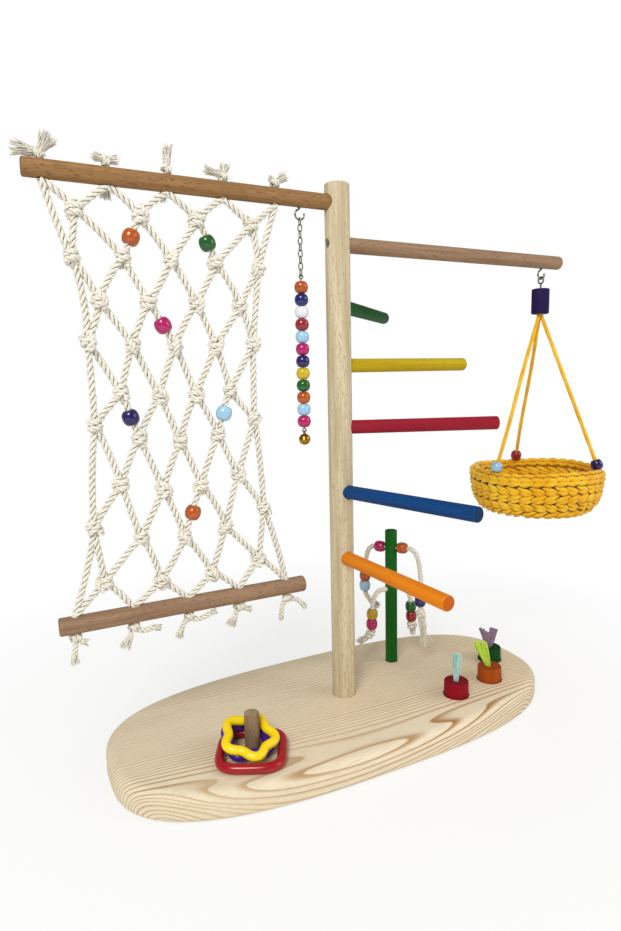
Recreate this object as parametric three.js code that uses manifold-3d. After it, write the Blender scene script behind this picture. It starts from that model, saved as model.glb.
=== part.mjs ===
// A small tabletop play stand for parrots. A pine board carries an upright beech post with dyed perches and
// two arms. A rope climbing net and a strand of beads hang from one arm, a crocheted nest from the other.
// The board also holds a green toy post with knotted ropes, a peg with stacking rings and three pull-out plugs.
// Millimetres, +Z up. The origin is the centre of the board's underside, and +X runs towards the nest.
import * as THREE from "three";
import { mergeVertices } from "three/addons/utils/BufferGeometryUtils.js";
import Module from "manifold-3d";

const wasm = await Module();
wasm.setup();

// ---------------------------------------------------------------- driving dimensions
const CLEAR = 0.3; // gap left between pieces that touch, or that sit in each other
const SOCKET_DEPTH = 15; // of the posts in the board

const BASE = { length: 430, width: 193, thick: 23, power: 2.83, topRound: 8, bottomRound: 4 };

const POST = { x: 6.4, y: 2.6, radius: 11, height: 468.5, round: 1.2 };
const PERCH = { radius: 6.25, reach: 149, socket: 8, round: 1.5 };
const PERCHES = [
  { name: "perch_green", height: 366, turn: 41, color: 0x0b5a1a },
  { name: "perch_yellow", height: 313, turn: 3, color: 0xc9a80a },
  { name: "perch_red", height: 257.5, turn: -21, color: 0xa31a30 },
  { name: "perch_blue", height: 198.5, turn: -75.4, color: 0x0a4a86 },
  { name: "perch_orange", height: 136.5, turn: -87.9, color: 0xe8820c },
];
const ARM_SOCKET = 6;
const NET_ARM = { radius: 6.7, pastHoles: 12.5, belowTop: 16, round: 1.5 };
const NEST_ARM = { radius: 6.8, reach: 270, belowTop: 50.5, round: 1.5 };

const SCREW = { shank: 1.8, head: 4, headHeight: 2.6, intoWood: 20, recess: 1.5 };

// The climbing net: five cords leave the arm and five enter the bar, with rows of four and five knots between.
const NET = { cords: 5, cord: 5, knot: 4.4, firstHole: 58.5, holePitch: 45, drop: 335.5, tail: 14 };
const NET_ROWS = [
  { below: 25.5, halfWidth: 68, edgeLift: 0 },
  { below: 56.5, halfWidth: 73, edgeLift: -3 },
  { below: 89.5, halfWidth: 56, edgeLift: 0 },
  { below: 122.5, halfWidth: 66, edgeLift: 3 },
  { below: 161.5, halfWidth: 44, edgeLift: 3 },
  { below: 198.5, halfWidth: 65, edgeLift: 16 },
  { below: 237.5, halfWidth: 48, edgeLift: 8 },
  { below: 277.5, halfWidth: 71, edgeLift: 16 },
  { below: 312.5, halfWidth: 65, edgeLift: 7 },
];
const NET_BAR = { radius: 7.1, beforeHoles: 17.5, pastHoles: 11.5, round: 1.2 };
const NET_BEAD = { radius: 6.6, length: 11.5 };
// Each net bead rides a cord from knot "from" of row "row" to knot "to" of the row below, counted from the tip.
const NET_BEADS = [
  { name: "net_bead_orange_top", row: 0, from: 1, to: 1, color: 0xd2701a },
  { name: "net_bead_green", row: 0, from: 2, to: 3, color: 0x0b6a1a },
  { name: "net_bead_pink", row: 2, from: 1, to: 2, color: 0xd01f7c },
  { name: "net_bead_indigo", row: 4, from: 0, to: 1, color: 0x2a0a70 },
  { name: "net_bead_sky", row: 4, from: 3, to: 3, color: 0xa8d0e8 },
  { name: "net_bead_orange_low", row: 6, from: 2, to: 2, color: 0xd2701a },
];
const TOP_KNOT = { radius: 5, tuft: 11 };

// Open screw hooks under the arms: wire and loop radius, and how far the loop's centre hangs below the arm.
const HOOK_SCREW = 8;
const BEAD_HOOK = { at: 36.4, wire: 0.8, loop: 4.2, centre: 6 };
const NEST_HOOK = { at: 245.2, wire: 1, loop: 4.4, centre: 6.2 };

const CHAIN = { links: 9, wire: 0.55, halfWidth: 1.7, halfLength: 3.09, fuse: 0.15 }; // to the wire's middle
const STRAND = { beads: 12, pitch: 10.48, radius: 5.9, wire: 0.6, eye: 1.7, lead: 2 };
const BELL = { radius: 5, wall: 0.6, slit: 1, ball: 1.5, loop: 1.5, loopWire: 0.5 };

const NEST_BLOCK = { radius: 9, height: 26, round: 1.5 };
const NEST_EYE = { wire: 0.9, ring: 3.4, neck: 5.5, intoBlock: 8 };
const NEST_CORD = { radius: 2.3, knot: 5, knotAbove: 2, intoRim: 4, firstTurn: 184.8 };
const NEST = { rimRadius: 68.5, footRadius: 60, height: 43, wall: 9, floor: 9, hang: 166 };
const RIM_BEAD = { radius: 6, length: 10.6 };
const RIM_BEAD_COLORS = { sky: 0xa8d0e8, crimson: 0xa22a3e, indigo: 0x2a0a70 };

const TOY_POST = { x: 79.3, y: 36.1, radius: 6.25, height: 143.5, round: 1 };
const TOY_ROPE = { radius: 2.75, knot: 4.6 };
const TOY_ROPE_STEPS = 12;
const TOY_BEAD = { radius: 5.9, length: 10.8, bore: 3.2, offPost: 0.35 };
// Each hole of the toy post has a rope on either side. "turn" is the hole's direction, and "side" is the way
// along it. A rope leaves the middle of the hole, and each of its points is a distance out from the post's
// surface and a drop below the hole.
const UPPER_HOLE = { height: 125, turn: -48 };
const LOWER_HOLE = { height: 80, turn: -5 };
const ROPE_START = 0.2; // from the post's axis, so that the two ropes of a hole stay apart
const TOY_ROPES = [
  {
    name: "toy_rope_upper_left",
    hole: UPPER_HOLE,
    side: -1,
    points: [
      [11.55, 0], [14.25, 0.8], [18.25, 4.5], [20.75, 13],
      [22.35, 25], [22.75, 41], [21.75, 53], [17.75, 59],
    ],
    tassel: { from: [17.75, 59], to: [6.75, 65], width: 3.6 },
  },
  {
    name: "toy_rope_upper_right",
    hole: UPPER_HOLE,
    side: 1,
    points: [
      [11.55, 0], [14.25, 0.5], [19.25, 4], [22.75, 13],
      [24.75, 27], [25.25, 41], [24.75, 57], [25.25, 69],
    ],
    knot: [25.25, 69],
    tassel: { from: [25.25, 71], to: [31.75, 103], width: 5 },
  },
  {
    name: "toy_rope_lower_left",
    hole: LOWER_HOLE,
    side: -1,
    points: [
      [1.75, 0], [7.75, 0.5], [13.25, 5.5], [16.05, 16],
      [16.75, 28], [17.05, 40], [18.25, 44], [21.75, 48],
    ],
    knot: [19.25, 46],
    tassel: { from: [21.75, 48], to: [32.75, 53], width: 3.8 },
  },
  {
    name: "toy_rope_lower_right",
    hole: LOWER_HOLE,
    side: 1,
    points: [
      [1.75, 0], [7.75, 0.4], [13.75, 5.5], [16.95, 15],
      [17.75, 26], [18.25, 38], [18.35, 44],
    ],
    knot: [18.35, 44],
  },
];
// Beads on the ropes: one, or two that touch. "at" is their middle, out from the post and below the hole, and
// "along" is the way that their bore runs, along the hole's direction and up.
const besidePost = [TOY_BEAD.offPost + TOY_BEAD.length / 2, 0];
const TOY_BEADS = [
  { name: "toy_bead_pink", hole: UPPER_HOLE, side: -1, at: besidePost, along: [-1, 0], count: 1,
    color: 0xd01f7c },
  { name: "toy_bead_orange", hole: UPPER_HOLE, side: 1, at: besidePost, along: [1, 0], count: 1,
    color: 0xd2701a },
  { name: "toy_beads_upper_left", hole: UPPER_HOLE, side: -1, at: [22.55, 39], along: [-0.03, 1], count: 2,
    color: 0xd2701a },
  { name: "toy_beads_upper_right", hole: UPPER_HOLE, side: 1, at: [24.95, 50], along: [0.03, 1], count: 2,
    color: 0x2a0a70 },
  { name: "toy_beads_lower_left", hole: LOWER_HOLE, side: -1, at: [16.75, 30], along: [0.05, 1], count: 2,
    color: 0xd8c010 },
  { name: "toy_beads_lower_right", hole: LOWER_HOLE, side: 1, at: [17.95, 29], along: [-0.05, 1], count: 2,
    color: 0x0b6a1a },
];

const RING_PEG = { fromEnd: 108.6, y: -42.8, radius: 6.25, height: 32.5, round: 0.8 };
// Rings lie round the peg: mean radius, lobes and their depth, turn, offset to the right and to the back, and
// how far their back and their right side are tilted up.
const RING_VIEW_TURN = -26; // the rings face this way, so that their front side is level in the photograph
const RINGS = [
  { name: "ring_red", tube: 4, radius: 25, lobes: 0, depth: 0, turn: 0, right: 0, back: -7.7, tilt: 0, lean: 0 },
  { name: "ring_purple", tube: 3.75, radius: 17.5, lobes: 4, depth: 2.5, turn: 67, right: -4, back: -1,
    tilt: 14.7, lean: -8 },
  { name: "ring_yellow", tube: 3.75, radius: 19, lobes: 5, depth: 2.3, turn: 75, right: -1.8, back: -7.3,
    tilt: 14.3, lean: -8.1 },
];
const RING_COLORS = { ring_red: 0xa80010, ring_purple: 0x4a1a9a, ring_yellow: 0xffe000 };
const RING_SQUARE_POWER = 4;

const PLUG = { radius: 11.5, proud: 14, sunk: 8.7, round: 1.2, wellGap: 1, tuftHole: 3.3, tuftDepth: 6 };
const PLUGS = [
  { name: "plug_red", tuft: "paper_loops_aqua", fromEnd: 116.3, y: -52, color: 0x8a0018, tuftColor: 0xb8e0d8,
    width: 5.2, depth: 2.6, height: 27, lean: -3, turn: -26 },
  { name: "plug_orange", tuft: "paper_loops_lime", fromEnd: 67.4, y: -43.8, color: 0xa84a08, tuftColor: 0xc8e840,
    width: 7, depth: 2.8, height: 26, lean: -22, turn: -26 },
  { name: "plug_green", tuft: "paper_fringe_lilac", fromEnd: 36, y: -9.7, color: 0x064a10, tuftColor: 0x8a7488,
    width: 10, depth: 2.8, height: 21, lean: -4, turn: -26 },
];

const LOOK = {
  pine: { color: 0xe3d3b0, roughness: 0.55, metalness: 0 },
  beech: { color: 0xd0c0a0, roughness: 0.6, metalness: 0 },
  arm: { color: 0xa9805b, roughness: 0.6, metalness: 0 },
  bar: { color: 0x9a7a60, roughness: 0.6, metalness: 0 },
  peg: { color: 0x8c7458, roughness: 0.6, metalness: 0 },
  nickel: { color: 0xc8c8c4, roughness: 0.25, metalness: 1 },
  brass: { color: 0xb08a30, roughness: 0.3, metalness: 1 },
  steel: { color: 0x8a8a88, roughness: 0.35, metalness: 1 },
  rope: { color: 0xe6e2d3, roughness: 0.95, metalness: 0 },
  yarn: { color: 0xe8b018, roughness: 0.9, metalness: 0 },
  block: { color: 0x2a1a5a, roughness: 0.5, metalness: 0 },
  toyGreen: { color: 0x0a5a0e, roughness: 0.5, metalness: 0 },
  strand: { color: 0xa22a3e, roughness: 0.3, metalness: 0 },
};
const dyed = (color) => ({ color, roughness: 0.5, metalness: 0 });
const glossy = (color) => ({ color, roughness: 0.2, metalness: 0 });

// ---------------------------------------------------------------- solids, cuts and joins
const rad = THREE.MathUtils.degToRad;
const vec = (x, y, z) => new THREE.Vector3(x, y, z);

function solid(geometry) {
  const bare = geometry.index ? geometry.toNonIndexed() : geometry.clone();
  bare.deleteAttribute("normal");
  bare.deleteAttribute("uv");
  const merged = mergeVertices(bare, 1e-4);
  const vertProperties = merged.attributes.position.array;
  const triVerts = new Uint32Array(merged.index.array);
  const made = new wasm.Manifold(new wasm.Mesh({ numProp: 3, vertProperties, triVerts }));
  if (made.volume() > 0) return made;
  for (let i = 0; i < triVerts.length; i += 3) {
    [triVerts[i + 1], triVerts[i + 2]] = [triVerts[i + 2], triVerts[i + 1]];
  }
  return new wasm.Manifold(new wasm.Mesh({ numProp: 3, vertProperties, triVerts }));
}

function geometryOf(made) {
  const result = made.getMesh();
  const position = new Float32Array(result.numVert * 3);
  for (let i = 0; i < result.numVert; i++) {
    position.set(result.vertProperties.subarray(i * result.numProp, i * result.numProp + 3), i * 3);
  }
  const geometry = new THREE.BufferGeometry();
  geometry.setAttribute("position", new THREE.BufferAttribute(position, 3));
  geometry.setIndex(new THREE.BufferAttribute(result.triVerts, 1));
  geometry.computeVertexNormals();
  return geometry;
}

const join = (...geometries) => geometryOf(wasm.Manifold.union(geometries.map(solid)));

function cut(geometry, ...cutters) {
  return geometryOf(solid(geometry).subtract(wasm.Manifold.union(cutters.map(solid))));
}

function mesh(name, geometry, look) {
  const made = new THREE.Mesh(geometry, new THREE.MeshStandardMaterial(look));
  made.name = name;
  return made;
}

function groupAt(x, y, z, ...children) {
  const group = new THREE.Group();
  group.position.set(x, y, z);
  group.add(...children);
  return group;
}

// ---------------------------------------------------------------- basic shapes
// A solid of revolution about Z from [radius, z] points.
function turned(profile, sides) {
  const points = profile.map(([radius, z]) => new THREE.Vector2(radius, z));
  return geometryOf(solid(new THREE.LatheGeometry(points, sides).rotateX(Math.PI / 2)));
}

function arc(radius, z, size, fromDegrees, toDegrees, steps) {
  const points = [];
  for (let i = 0; i <= steps; i++) {
    const angle = rad(fromDegrees + ((toDegrees - fromDegrees) * i) / steps);
    points.push([radius + size * Math.cos(angle), z + size * Math.sin(angle)]);
  }
  return points;
}

// A round rod along Z with eased ends.
function dowel(radius, from, to, round, sides) {
  const foot = arc(radius - round, from + round, round, -90, 0, 1);
  const tip = arc(radius - round, to - round, round, 0, 90, 1);
  return turned([[0, from], ...foot, ...tip, [0, to]], sides);
}

// A plain cylinder along Z, for holes and straight stretches.
const cylinder = (radius, from, to, sides) => turned([[0, from], [radius, from], [radius, to], [0, to]], sides);

// Turns a shape that was made along Z so that it runs along another direction from a point.
function aimed(geometry, from, direction) {
  const turn = new THREE.Quaternion().setFromUnitVectors(vec(0, 0, 1), direction.clone().normalize());
  return geometry.applyQuaternion(turn).translate(from.x, from.y, from.z);
}

// A rod between two points.
function rod(from, to, radius, sides) {
  const run = to.clone().sub(from);
  return aimed(cylinder(radius, 0, run.length(), sides), from, run);
}

function tube(points, radius, sides, steps) {
  const section = new THREE.Shape();
  section.absarc(0, 0, radius, 0, 2 * Math.PI);
  const path = new THREE.CatmullRomCurve3(points);
  return new THREE.ExtrudeGeometry(section, {
    steps, extrudePath: path, bevelEnabled: false, curveSegments: sides / 2,
  });
}

// A tube round a closed line.
function loopTube(line, radius, sides) {
  const position = [];
  const faces = [];
  const count = line.length;
  line.forEach((point, i) => {
    const ahead = line[(i + 1) % count].clone().sub(line[(i + count - 1) % count]).normalize();
    const side = ahead.clone().cross(vec(0, 0, 1)).normalize();
    const up = side.clone().cross(ahead);
    for (let k = 0; k < sides; k++) {
      const angle = (2 * Math.PI * k) / sides;
      const at = point.clone().addScaledVector(side, radius * Math.cos(angle));
      at.addScaledVector(up, radius * Math.sin(angle));
      position.push(at.x, at.y, at.z);
      const next = ((i + 1) % count) * sides;
      const turn = (k + 1) % sides;
      faces.push(i * sides + k, next + k, next + turn, i * sides + k, next + turn, i * sides + turn);
    }
  });
  const geometry = new THREE.BufferGeometry();
  geometry.setAttribute("position", new THREE.Float32BufferAttribute(position, 3));
  geometry.setIndex(faces);
  return geometryOf(solid(geometry));
}

// Beads in a row along Z about the origin: balls with flat ends, one body where they touch.
function beads(radius, pitch, bore, count, sides) {
  const flat = 50;
  const neck = radius * Math.cos(rad(flat));
  const outer = [];
  for (let i = 0; i < count; i++) {
    const middle = (i - (count - 1) / 2) * pitch;
    for (const degrees of [-40, 0, 40]) {
      const rise = (pitch / 2) * (Math.sin(rad(degrees)) / Math.sin(rad(flat)));
      outer.push([radius * Math.cos(rad(degrees)), middle + rise]);
    }
    if (i < count - 1) outer.push([neck, middle + pitch / 2]);
  }
  const half = (count * pitch) / 2;
  return turned([[bore, -half], [neck, -half], ...outer, [neck, half], [bore, half], [bore, -half]], sides);
}

// Stacks outlines with the same number of points into one closed solid.
function stacked(outlines) {
  const count = outlines[0].length;
  const position = outlines.flat().flatMap((p) => [p.x, p.y, p.z]);
  const last = outlines.length - 1;
  const floorCentre = position.length / 3;
  position.push(0, 0, outlines[0][0].z, 0, 0, outlines[last][0].z);
  const faces = [];
  for (let k = 0; k < count; k++) {
    const next = (k + 1) % count;
    for (let row = 0; row < last; row++) {
      const a = row * count;
      const b = a + count;
      faces.push(a + k, a + next, b + next, a + k, b + next, b + k);
    }
    faces.push(floorCentre, next, k);
    faces.push(floorCentre + 1, last * count + k, last * count + next);
  }
  const geometry = new THREE.BufferGeometry();
  geometry.setAttribute("position", new THREE.Float32BufferAttribute(position, 3));
  geometry.setIndex(faces);
  return geometry;
}

// ---------------------------------------------------------------- places on the board
const boardTop = BASE.thick;
const toyPostPlace = [POST.x + TOY_POST.x, POST.y + TOY_POST.y];
const ringPegPlace = [RING_PEG.fromEnd - BASE.length / 2, RING_PEG.y];
const plugPlace = (plug) => [BASE.length / 2 - plug.fromEnd, plug.y];

function boardOutline(inset, z) {
  const points = [];
  const count = 44;
  for (let i = 0; i < count; i++) {
    const angle = (2 * Math.PI * i) / count;
    const c = Math.cos(angle);
    const s = Math.sin(angle);
    const along = Math.sign(c) * Math.abs(c) ** (2 / BASE.power);
    const across = Math.sign(s) * Math.abs(s) ** (2 / BASE.power);
    points.push(vec(along * (BASE.length / 2 - inset), across * (BASE.width / 2 - inset), z));
  }
  return points;
}

function baseBoard() {
  const foot = arc(0, BASE.bottomRound, BASE.bottomRound, -90, 0, 1);
  const brim = arc(0, BASE.thick - BASE.topRound, BASE.topRound, 0, 90, 3);
  const outlines = [
    ...foot.map(([out, z]) => boardOutline(BASE.bottomRound - out, z)),
    ...brim.map(([out, z]) => boardOutline(BASE.topRound - out, z)),
  ];
  const socket = (radius, depth, [x, y], sides) =>
    cylinder(radius, boardTop - depth, boardTop + 1, sides).translate(x, y, 0);
  const headRadius = SCREW.head + CLEAR;
  const headDepth = SCREW.recess + SCREW.headHeight + CLEAR;
  return cut(
    stacked(outlines),
    socket(POST.radius + CLEAR, SOCKET_DEPTH, [POST.x, POST.y], 24),
    socket(TOY_POST.radius + CLEAR, SOCKET_DEPTH, toyPostPlace, 16),
    socket(RING_PEG.radius + CLEAR, SOCKET_DEPTH, ringPegPlace, 16),
    ...PLUGS.map((plug) => socket(PLUG.radius + PLUG.wellGap, PLUG.sunk + CLEAR, plugPlace(plug), 20)),
    cylinder(headRadius, -1, headDepth, 12).translate(POST.x, POST.y, 0),
    cylinder(SCREW.shank + CLEAR, 0, BASE.thick, 10).translate(POST.x, POST.y, 0),
  );
}

// ---------------------------------------------------------------- post, arms, perches and their screws
const netArmHeight = POST.height - NET_ARM.belowTop;
const nestArmHeight = POST.height - NEST_ARM.belowTop;
const heading = (degrees) => vec(Math.cos(rad(degrees)), Math.sin(rad(degrees)), 0);

// A cutter that enters the post from one side and stops at "depth" below its surface.
function sideSocket(radius, depth, height, degrees, sides) {
  const out = heading(degrees);
  const start = out.clone().multiplyScalar(POST.radius - depth).setZ(height);
  return aimed(cylinder(radius, 0, depth + 5, sides), start, out);
}

function mainPost() {
  const armScrew = (height, armTurn) => {
    const out = heading(armTurn + 180);
    const middle = vec(0, 0, height);
    return join(
      sideSocket(SCREW.head + CLEAR, SCREW.recess + SCREW.headHeight + CLEAR, height, armTurn + 180, 12),
      aimed(cylinder(SCREW.shank + CLEAR, -POST.radius, POST.radius, 10), middle, out),
    );
  };
  return cut(
    dowel(POST.radius, CLEAR - SOCKET_DEPTH, POST.height, POST.round, 24),
    ...PERCHES.map((perch) => sideSocket(PERCH.radius + CLEAR, PERCH.socket, perch.height, perch.turn, 12)),
    sideSocket(NET_ARM.radius + CLEAR, ARM_SOCKET, netArmHeight, 180, 16),
    sideSocket(NEST_ARM.radius + CLEAR, ARM_SOCKET, nestArmHeight, 0, 16),
    armScrew(netArmHeight, 180),
    armScrew(nestArmHeight, 0),
    cylinder(SCREW.shank + CLEAR, -SOCKET_DEPTH - 1, SCREW.intoWood - SOCKET_DEPTH + CLEAR, 10),
  );
}

function perch(spec) {
  const made = mesh(
    spec.name,
    dowel(PERCH.radius, POST.radius - PERCH.socket + CLEAR, PERCH.reach, PERCH.round, 14).rotateY(Math.PI / 2),
    dyed(spec.color),
  );
  made.position.z = spec.height;
  made.rotation.z = rad(spec.turn);
  return made;
}

// A countersunk wood screw along Z, its head's face at 0 and its tip at -length.
function woodScrew(length) {
  return turned(
    [[0, -length], [SCREW.shank, 4 - length], [SCREW.shank, -SCREW.headHeight], [SCREW.head, 0], [0, 0]],
    10,
  );
}

const armScrewLength = 2 * POST.radius - SCREW.recess - ARM_SOCKET + SCREW.intoWood;
const armScrewFace = POST.radius - SCREW.recess;
const armStart = POST.radius - ARM_SOCKET + CLEAR;

// An arm's rod along +X from its seat in the post, with the pilot hole that its screw bites in.
function armRod(arm, reach) {
  const pilotEnd = armScrewLength - armScrewFace + CLEAR;
  return cut(
    dowel(arm.radius, armStart, reach, arm.round, 16).rotateY(Math.PI / 2),
    cylinder(SCREW.shank + CLEAR, 0, pilotEnd, 10).rotateY(Math.PI / 2),
  );
}

const hookPilot = (hook, arm) =>
  cylinder(hook.wire + CLEAR, -arm.radius - 1, HOOK_SCREW - arm.radius + CLEAR, 8).translate(hook.at, 0, 0);

const netHoles = Array.from({ length: NET.cords }, (_, i) => NET.firstHole + i * NET.holePitch);
const lastHole = netHoles[NET.cords - 1];
const netArmReach = lastHole + NET_ARM.pastHoles;
const cordHole = (radius) => cylinder(NET.cord / 2 + CLEAR, -radius - 1, radius + 1, 10);

function netArm() {
  const holes = netHoles.map((at) => cordHole(NET_ARM.radius).translate(at, 0, 0));
  return cut(armRod(NET_ARM, netArmReach), hookPilot(BEAD_HOOK, NET_ARM), ...holes).rotateZ(Math.PI);
}

const nestArm = () => cut(armRod(NEST_ARM, NEST_ARM.reach), hookPilot(NEST_HOOK, NEST_ARM));

// An open screw hook: its shank stands in the arm, and its loop hangs below z = 0.
function openHook(hook) {
  const points = [vec(0, 0, HOOK_SCREW - 1), vec(0, 0, 3), vec(0, 0, 0)];
  for (let degrees = 105; degrees <= 385; degrees += 35) {
    const angle = rad(degrees);
    points.push(vec(hook.loop * Math.cos(angle), 0, hook.loop * Math.sin(angle) - hook.centre));
  }
  return tube(points, hook.wire, 6, 30);
}

// A closed wire ring that stands in the XZ plane.
const wireRing = (radius, wire) => new THREE.TorusGeometry(radius, wire, 6, 10).rotateX(Math.PI / 2);

// ---------------------------------------------------------------- climbing net
const netCentre = (NET.firstHole + lastHole) / 2;
const netUnderArm = NET_ARM.radius + CLEAR;

// Knots of the row, from the arm's tip towards the post, in the net arm's own frame.
function netRow(row, index) {
  const count = index % 2 === 0 ? NET.cords - 1 : NET.cords;
  const knots = [];
  for (let i = 0; i < count; i++) {
    const across = (2 * i) / (count - 1) - 1;
    const x = -netCentre + row.halfWidth * across;
    knots.push(vec(x, 0, row.edgeLift * across ** 2 - row.below));
  }
  return knots;
}

const netRows = [
  netHoles.toReversed().map((at) => vec(-at, 0, -netUnderArm)),
  ...NET_ROWS.map(netRow),
  netHoles.toReversed().map((at) => vec(-at, 0, NET_BAR.radius - NET.drop)),
];

function netCords() {
  const radius = NET.cord / 2;
  const pieces = [];
  for (let r = 1; r < netRows.length; r++) {
    const [short, long] = r % 2 === 1 ? [netRows[r], netRows[r - 1]] : [netRows[r - 1], netRows[r]];
    short.forEach((knot, i) => {
      pieces.push(rod(knot, long[i], radius, 4));
      pieces.push(rod(knot, long[i + 1], radius, 4));
    });
  }
  const edgeRows = netRows.filter((row) => row.length === NET.cords);
  for (let r = 1; r < edgeRows.length; r++) {
    pieces.push(rod(edgeRows[r - 1][0], edgeRows[r][0], radius, 4));
    pieces.push(rod(edgeRows[r - 1].at(-1), edgeRows[r].at(-1), radius, 4));
  }
  return pieces;
}

function climbingNet() {
  const knots = netRows.slice(1, -1).flat().map((at) =>
    new THREE.OctahedronGeometry(NET.knot, 0).translate(at.x, at.y, at.z));
  const tailThroughBar = cylinder(NET.cord / 2, -NET_BAR.radius - 2, NET_BAR.radius + 1, 6);
  const tails = netHoles.flatMap((at) => [
    tailThroughBar.clone().translate(-at, 0, -NET.drop),
    turned([[0, -NET.tail], [3.4, -NET.tail], [NET.knot, -NET.knot], [2, 0], [0, 0]], 6)
      .translate(-at, 0, -NET.drop - NET_BAR.radius - CLEAR),
  ]);
  const whole = join(...netCords(), ...knots, ...tails);
  const roof = new THREE.BoxGeometry(netArmReach * 2, 40, 20).translate(-netCentre, 0, 10 - netUnderArm);
  const barHollow = cylinder(NET_BAR.radius + CLEAR, -2 * netCentre, 0, 16).rotateY(Math.PI / 2);
  const throughBar = netHoles.map((at) => cylinder(NET.cord / 2, -10, 10, 6).translate(-at, 0, 0));
  const bar = cut(barHollow, ...throughBar).translate(0, 0, -NET.drop);
  const netBeadHalf = NET_BEAD.length / 2 + CLEAR;
  const beadRoom = cylinder(NET_BEAD.radius, -netBeadHalf, netBeadHalf, 8);
  const aroundBeads = NET_BEADS.map((spec) => netBeadAt(spec, beadRoom.clone()));
  const cords = NET_BEADS.map((spec) => netBeadAt(spec, cylinder(NET.cord / 2, -9, 9, 6)));
  return join(cut(whole, roof, bar, ...aroundBeads), ...cords);
}

// Places a shape that was made along Z at the middle of its bead's cord.
function netBeadAt(spec, geometry) {
  const from = netRows[spec.row + 1][spec.from];
  const to = netRows[spec.row + 2][spec.to];
  return aimed(geometry, from.clone().lerp(to, 0.52), from.clone().sub(to));
}

function netBar() {
  const start = NET.firstHole - NET_BAR.beforeHoles;
  const end = lastHole + NET_BAR.pastHoles;
  const rodShape = dowel(NET_BAR.radius, start, end, NET_BAR.round, 16).rotateY(Math.PI / 2);
  const holes = netHoles.map((at) => cordHole(NET_BAR.radius).translate(at, 0, 0));
  return cut(rodShape, ...holes).rotateZ(Math.PI);
}

// The end of a net cord: it stands through the arm and is knotted and frayed on top of it. Its lower end
// stays inside the arm's round underside, so that the net swings clear of it.
const CORD_END_INSIDE = 0.5;

function topKnot() {
  const top = NET_ARM.radius;
  return join(
    cylinder(NET.cord / 2, CORD_END_INSIDE - NET_ARM.radius, top + 3, 8),
    turned(
      [[0, CLEAR], [2.6, CLEAR], [TOP_KNOT.radius, 3.5], [3, 7.5], [4, TOP_KNOT.tuft], [0, TOP_KNOT.tuft + 1]],
      8,
    ).translate(0, 0, top),
  );
}

// ---------------------------------------------------------------- bead strand
const hookFloor = (hook) => hook.centre + hook.loop;
const linkPitch = 2 * CHAIN.halfLength - 2 * CHAIN.wire + CHAIN.fuse;
const linkRoom = CHAIN.halfLength - CHAIN.wire; // from a link's middle to its inner end
const firstLink = -hookFloor(BEAD_HOOK) + BEAD_HOOK.wire + CLEAR - linkRoom;
const lastLink = firstLink - (CHAIN.links - 1) * linkPitch;

function beadChain() {
  const line = [];
  for (let degrees = 0; degrees < 360; degrees += 45) {
    const angle = rad(degrees);
    line.push(vec(CHAIN.halfWidth * Math.cos(angle), CHAIN.halfLength * Math.sin(angle), 0));
  }
  const links = [];
  for (let i = 0; i < CHAIN.links; i++) {
    const link = loopTube(line, CHAIN.wire, 4).rotateX(Math.PI / 2);
    link.rotateZ(i % 2 === 0 ? Math.PI / 2 : 0);
    links.push(link.translate(0, 0, firstLink - i * linkPitch));
  }
  return join(...links);
}

const strandEye = lastLink - linkRoom + CLEAR + STRAND.wire - STRAND.eye;
const firstBead = strandEye - STRAND.eye - STRAND.lead - STRAND.pitch / 2;
const beadsEnd = firstBead - (STRAND.beads - 0.5) * STRAND.pitch;
const lowerEye = beadsEnd - STRAND.eye - 1;

function strandWire() {
  return join(
    wireRing(STRAND.eye, STRAND.wire).translate(0, 0, strandEye),
    cylinder(STRAND.wire, lowerEye + STRAND.eye - 0.2, strandEye - STRAND.eye + 0.2, 8),
    wireRing(STRAND.eye, STRAND.wire).translate(0, 0, lowerEye),
  );
}

function strandBeads() {
  const middle = firstBead - ((STRAND.beads - 1) / 2) * STRAND.pitch;
  return beads(STRAND.radius, STRAND.pitch, STRAND.wire + CLEAR, STRAND.beads, 8).translate(0, 0, middle);
}

const bellLoop = lowerEye - STRAND.eye + STRAND.wire + BELL.loopWire + CLEAR - BELL.loop;
const bellCentre = bellLoop - BELL.loop - BELL.radius + BELL.loopWire / 2;

// A jingle bell: a thin ball with a crossed slit below and a wire loop above.
function jingleBell() {
  const inner = BELL.radius - BELL.wall;
  const shell = cut(
    new THREE.SphereGeometry(BELL.radius, 12, 8),
    new THREE.SphereGeometry(inner, 8, 6),
    new THREE.BoxGeometry(BELL.slit, 1.6 * BELL.radius, BELL.radius).translate(0, 0, -BELL.radius * 0.8),
  );
  // The ball in the bell lies on the shell's floor, and is one body with it here.
  const ball = new THREE.SphereGeometry(BELL.ball, 8, 6).translate(1.2, 0, BELL.ball - inner - 0.05);
  return join(
    shell.translate(0, 0, bellCentre),
    ball.translate(0, 0, bellCentre + 0.3),
    wireRing(BELL.loop, BELL.loopWire).rotateZ(Math.PI / 2).translate(0, 0, bellLoop),
  );
}

// ---------------------------------------------------------------- hanging nest
const eyeCentre = -hookFloor(NEST_HOOK) + NEST_HOOK.wire + NEST_EYE.wire + CLEAR - NEST_EYE.ring;
const blockTop = eyeCentre - NEST_EYE.ring - NEST_EYE.neck;
const blockBottom = blockTop - NEST_BLOCK.height;
const rimTop = blockBottom - NEST.hang;
const rimMiddle = NEST.rimRadius - NEST.wall / 2;
const nestTurns = [0, 120, 240].map((step) => NEST_CORD.firstTurn - step);

// The cords meet in a knot that sits in a round hollow of the block's underside, and part from its middle.
const knotHeight = blockBottom + NEST_CORD.knotAbove;

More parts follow.
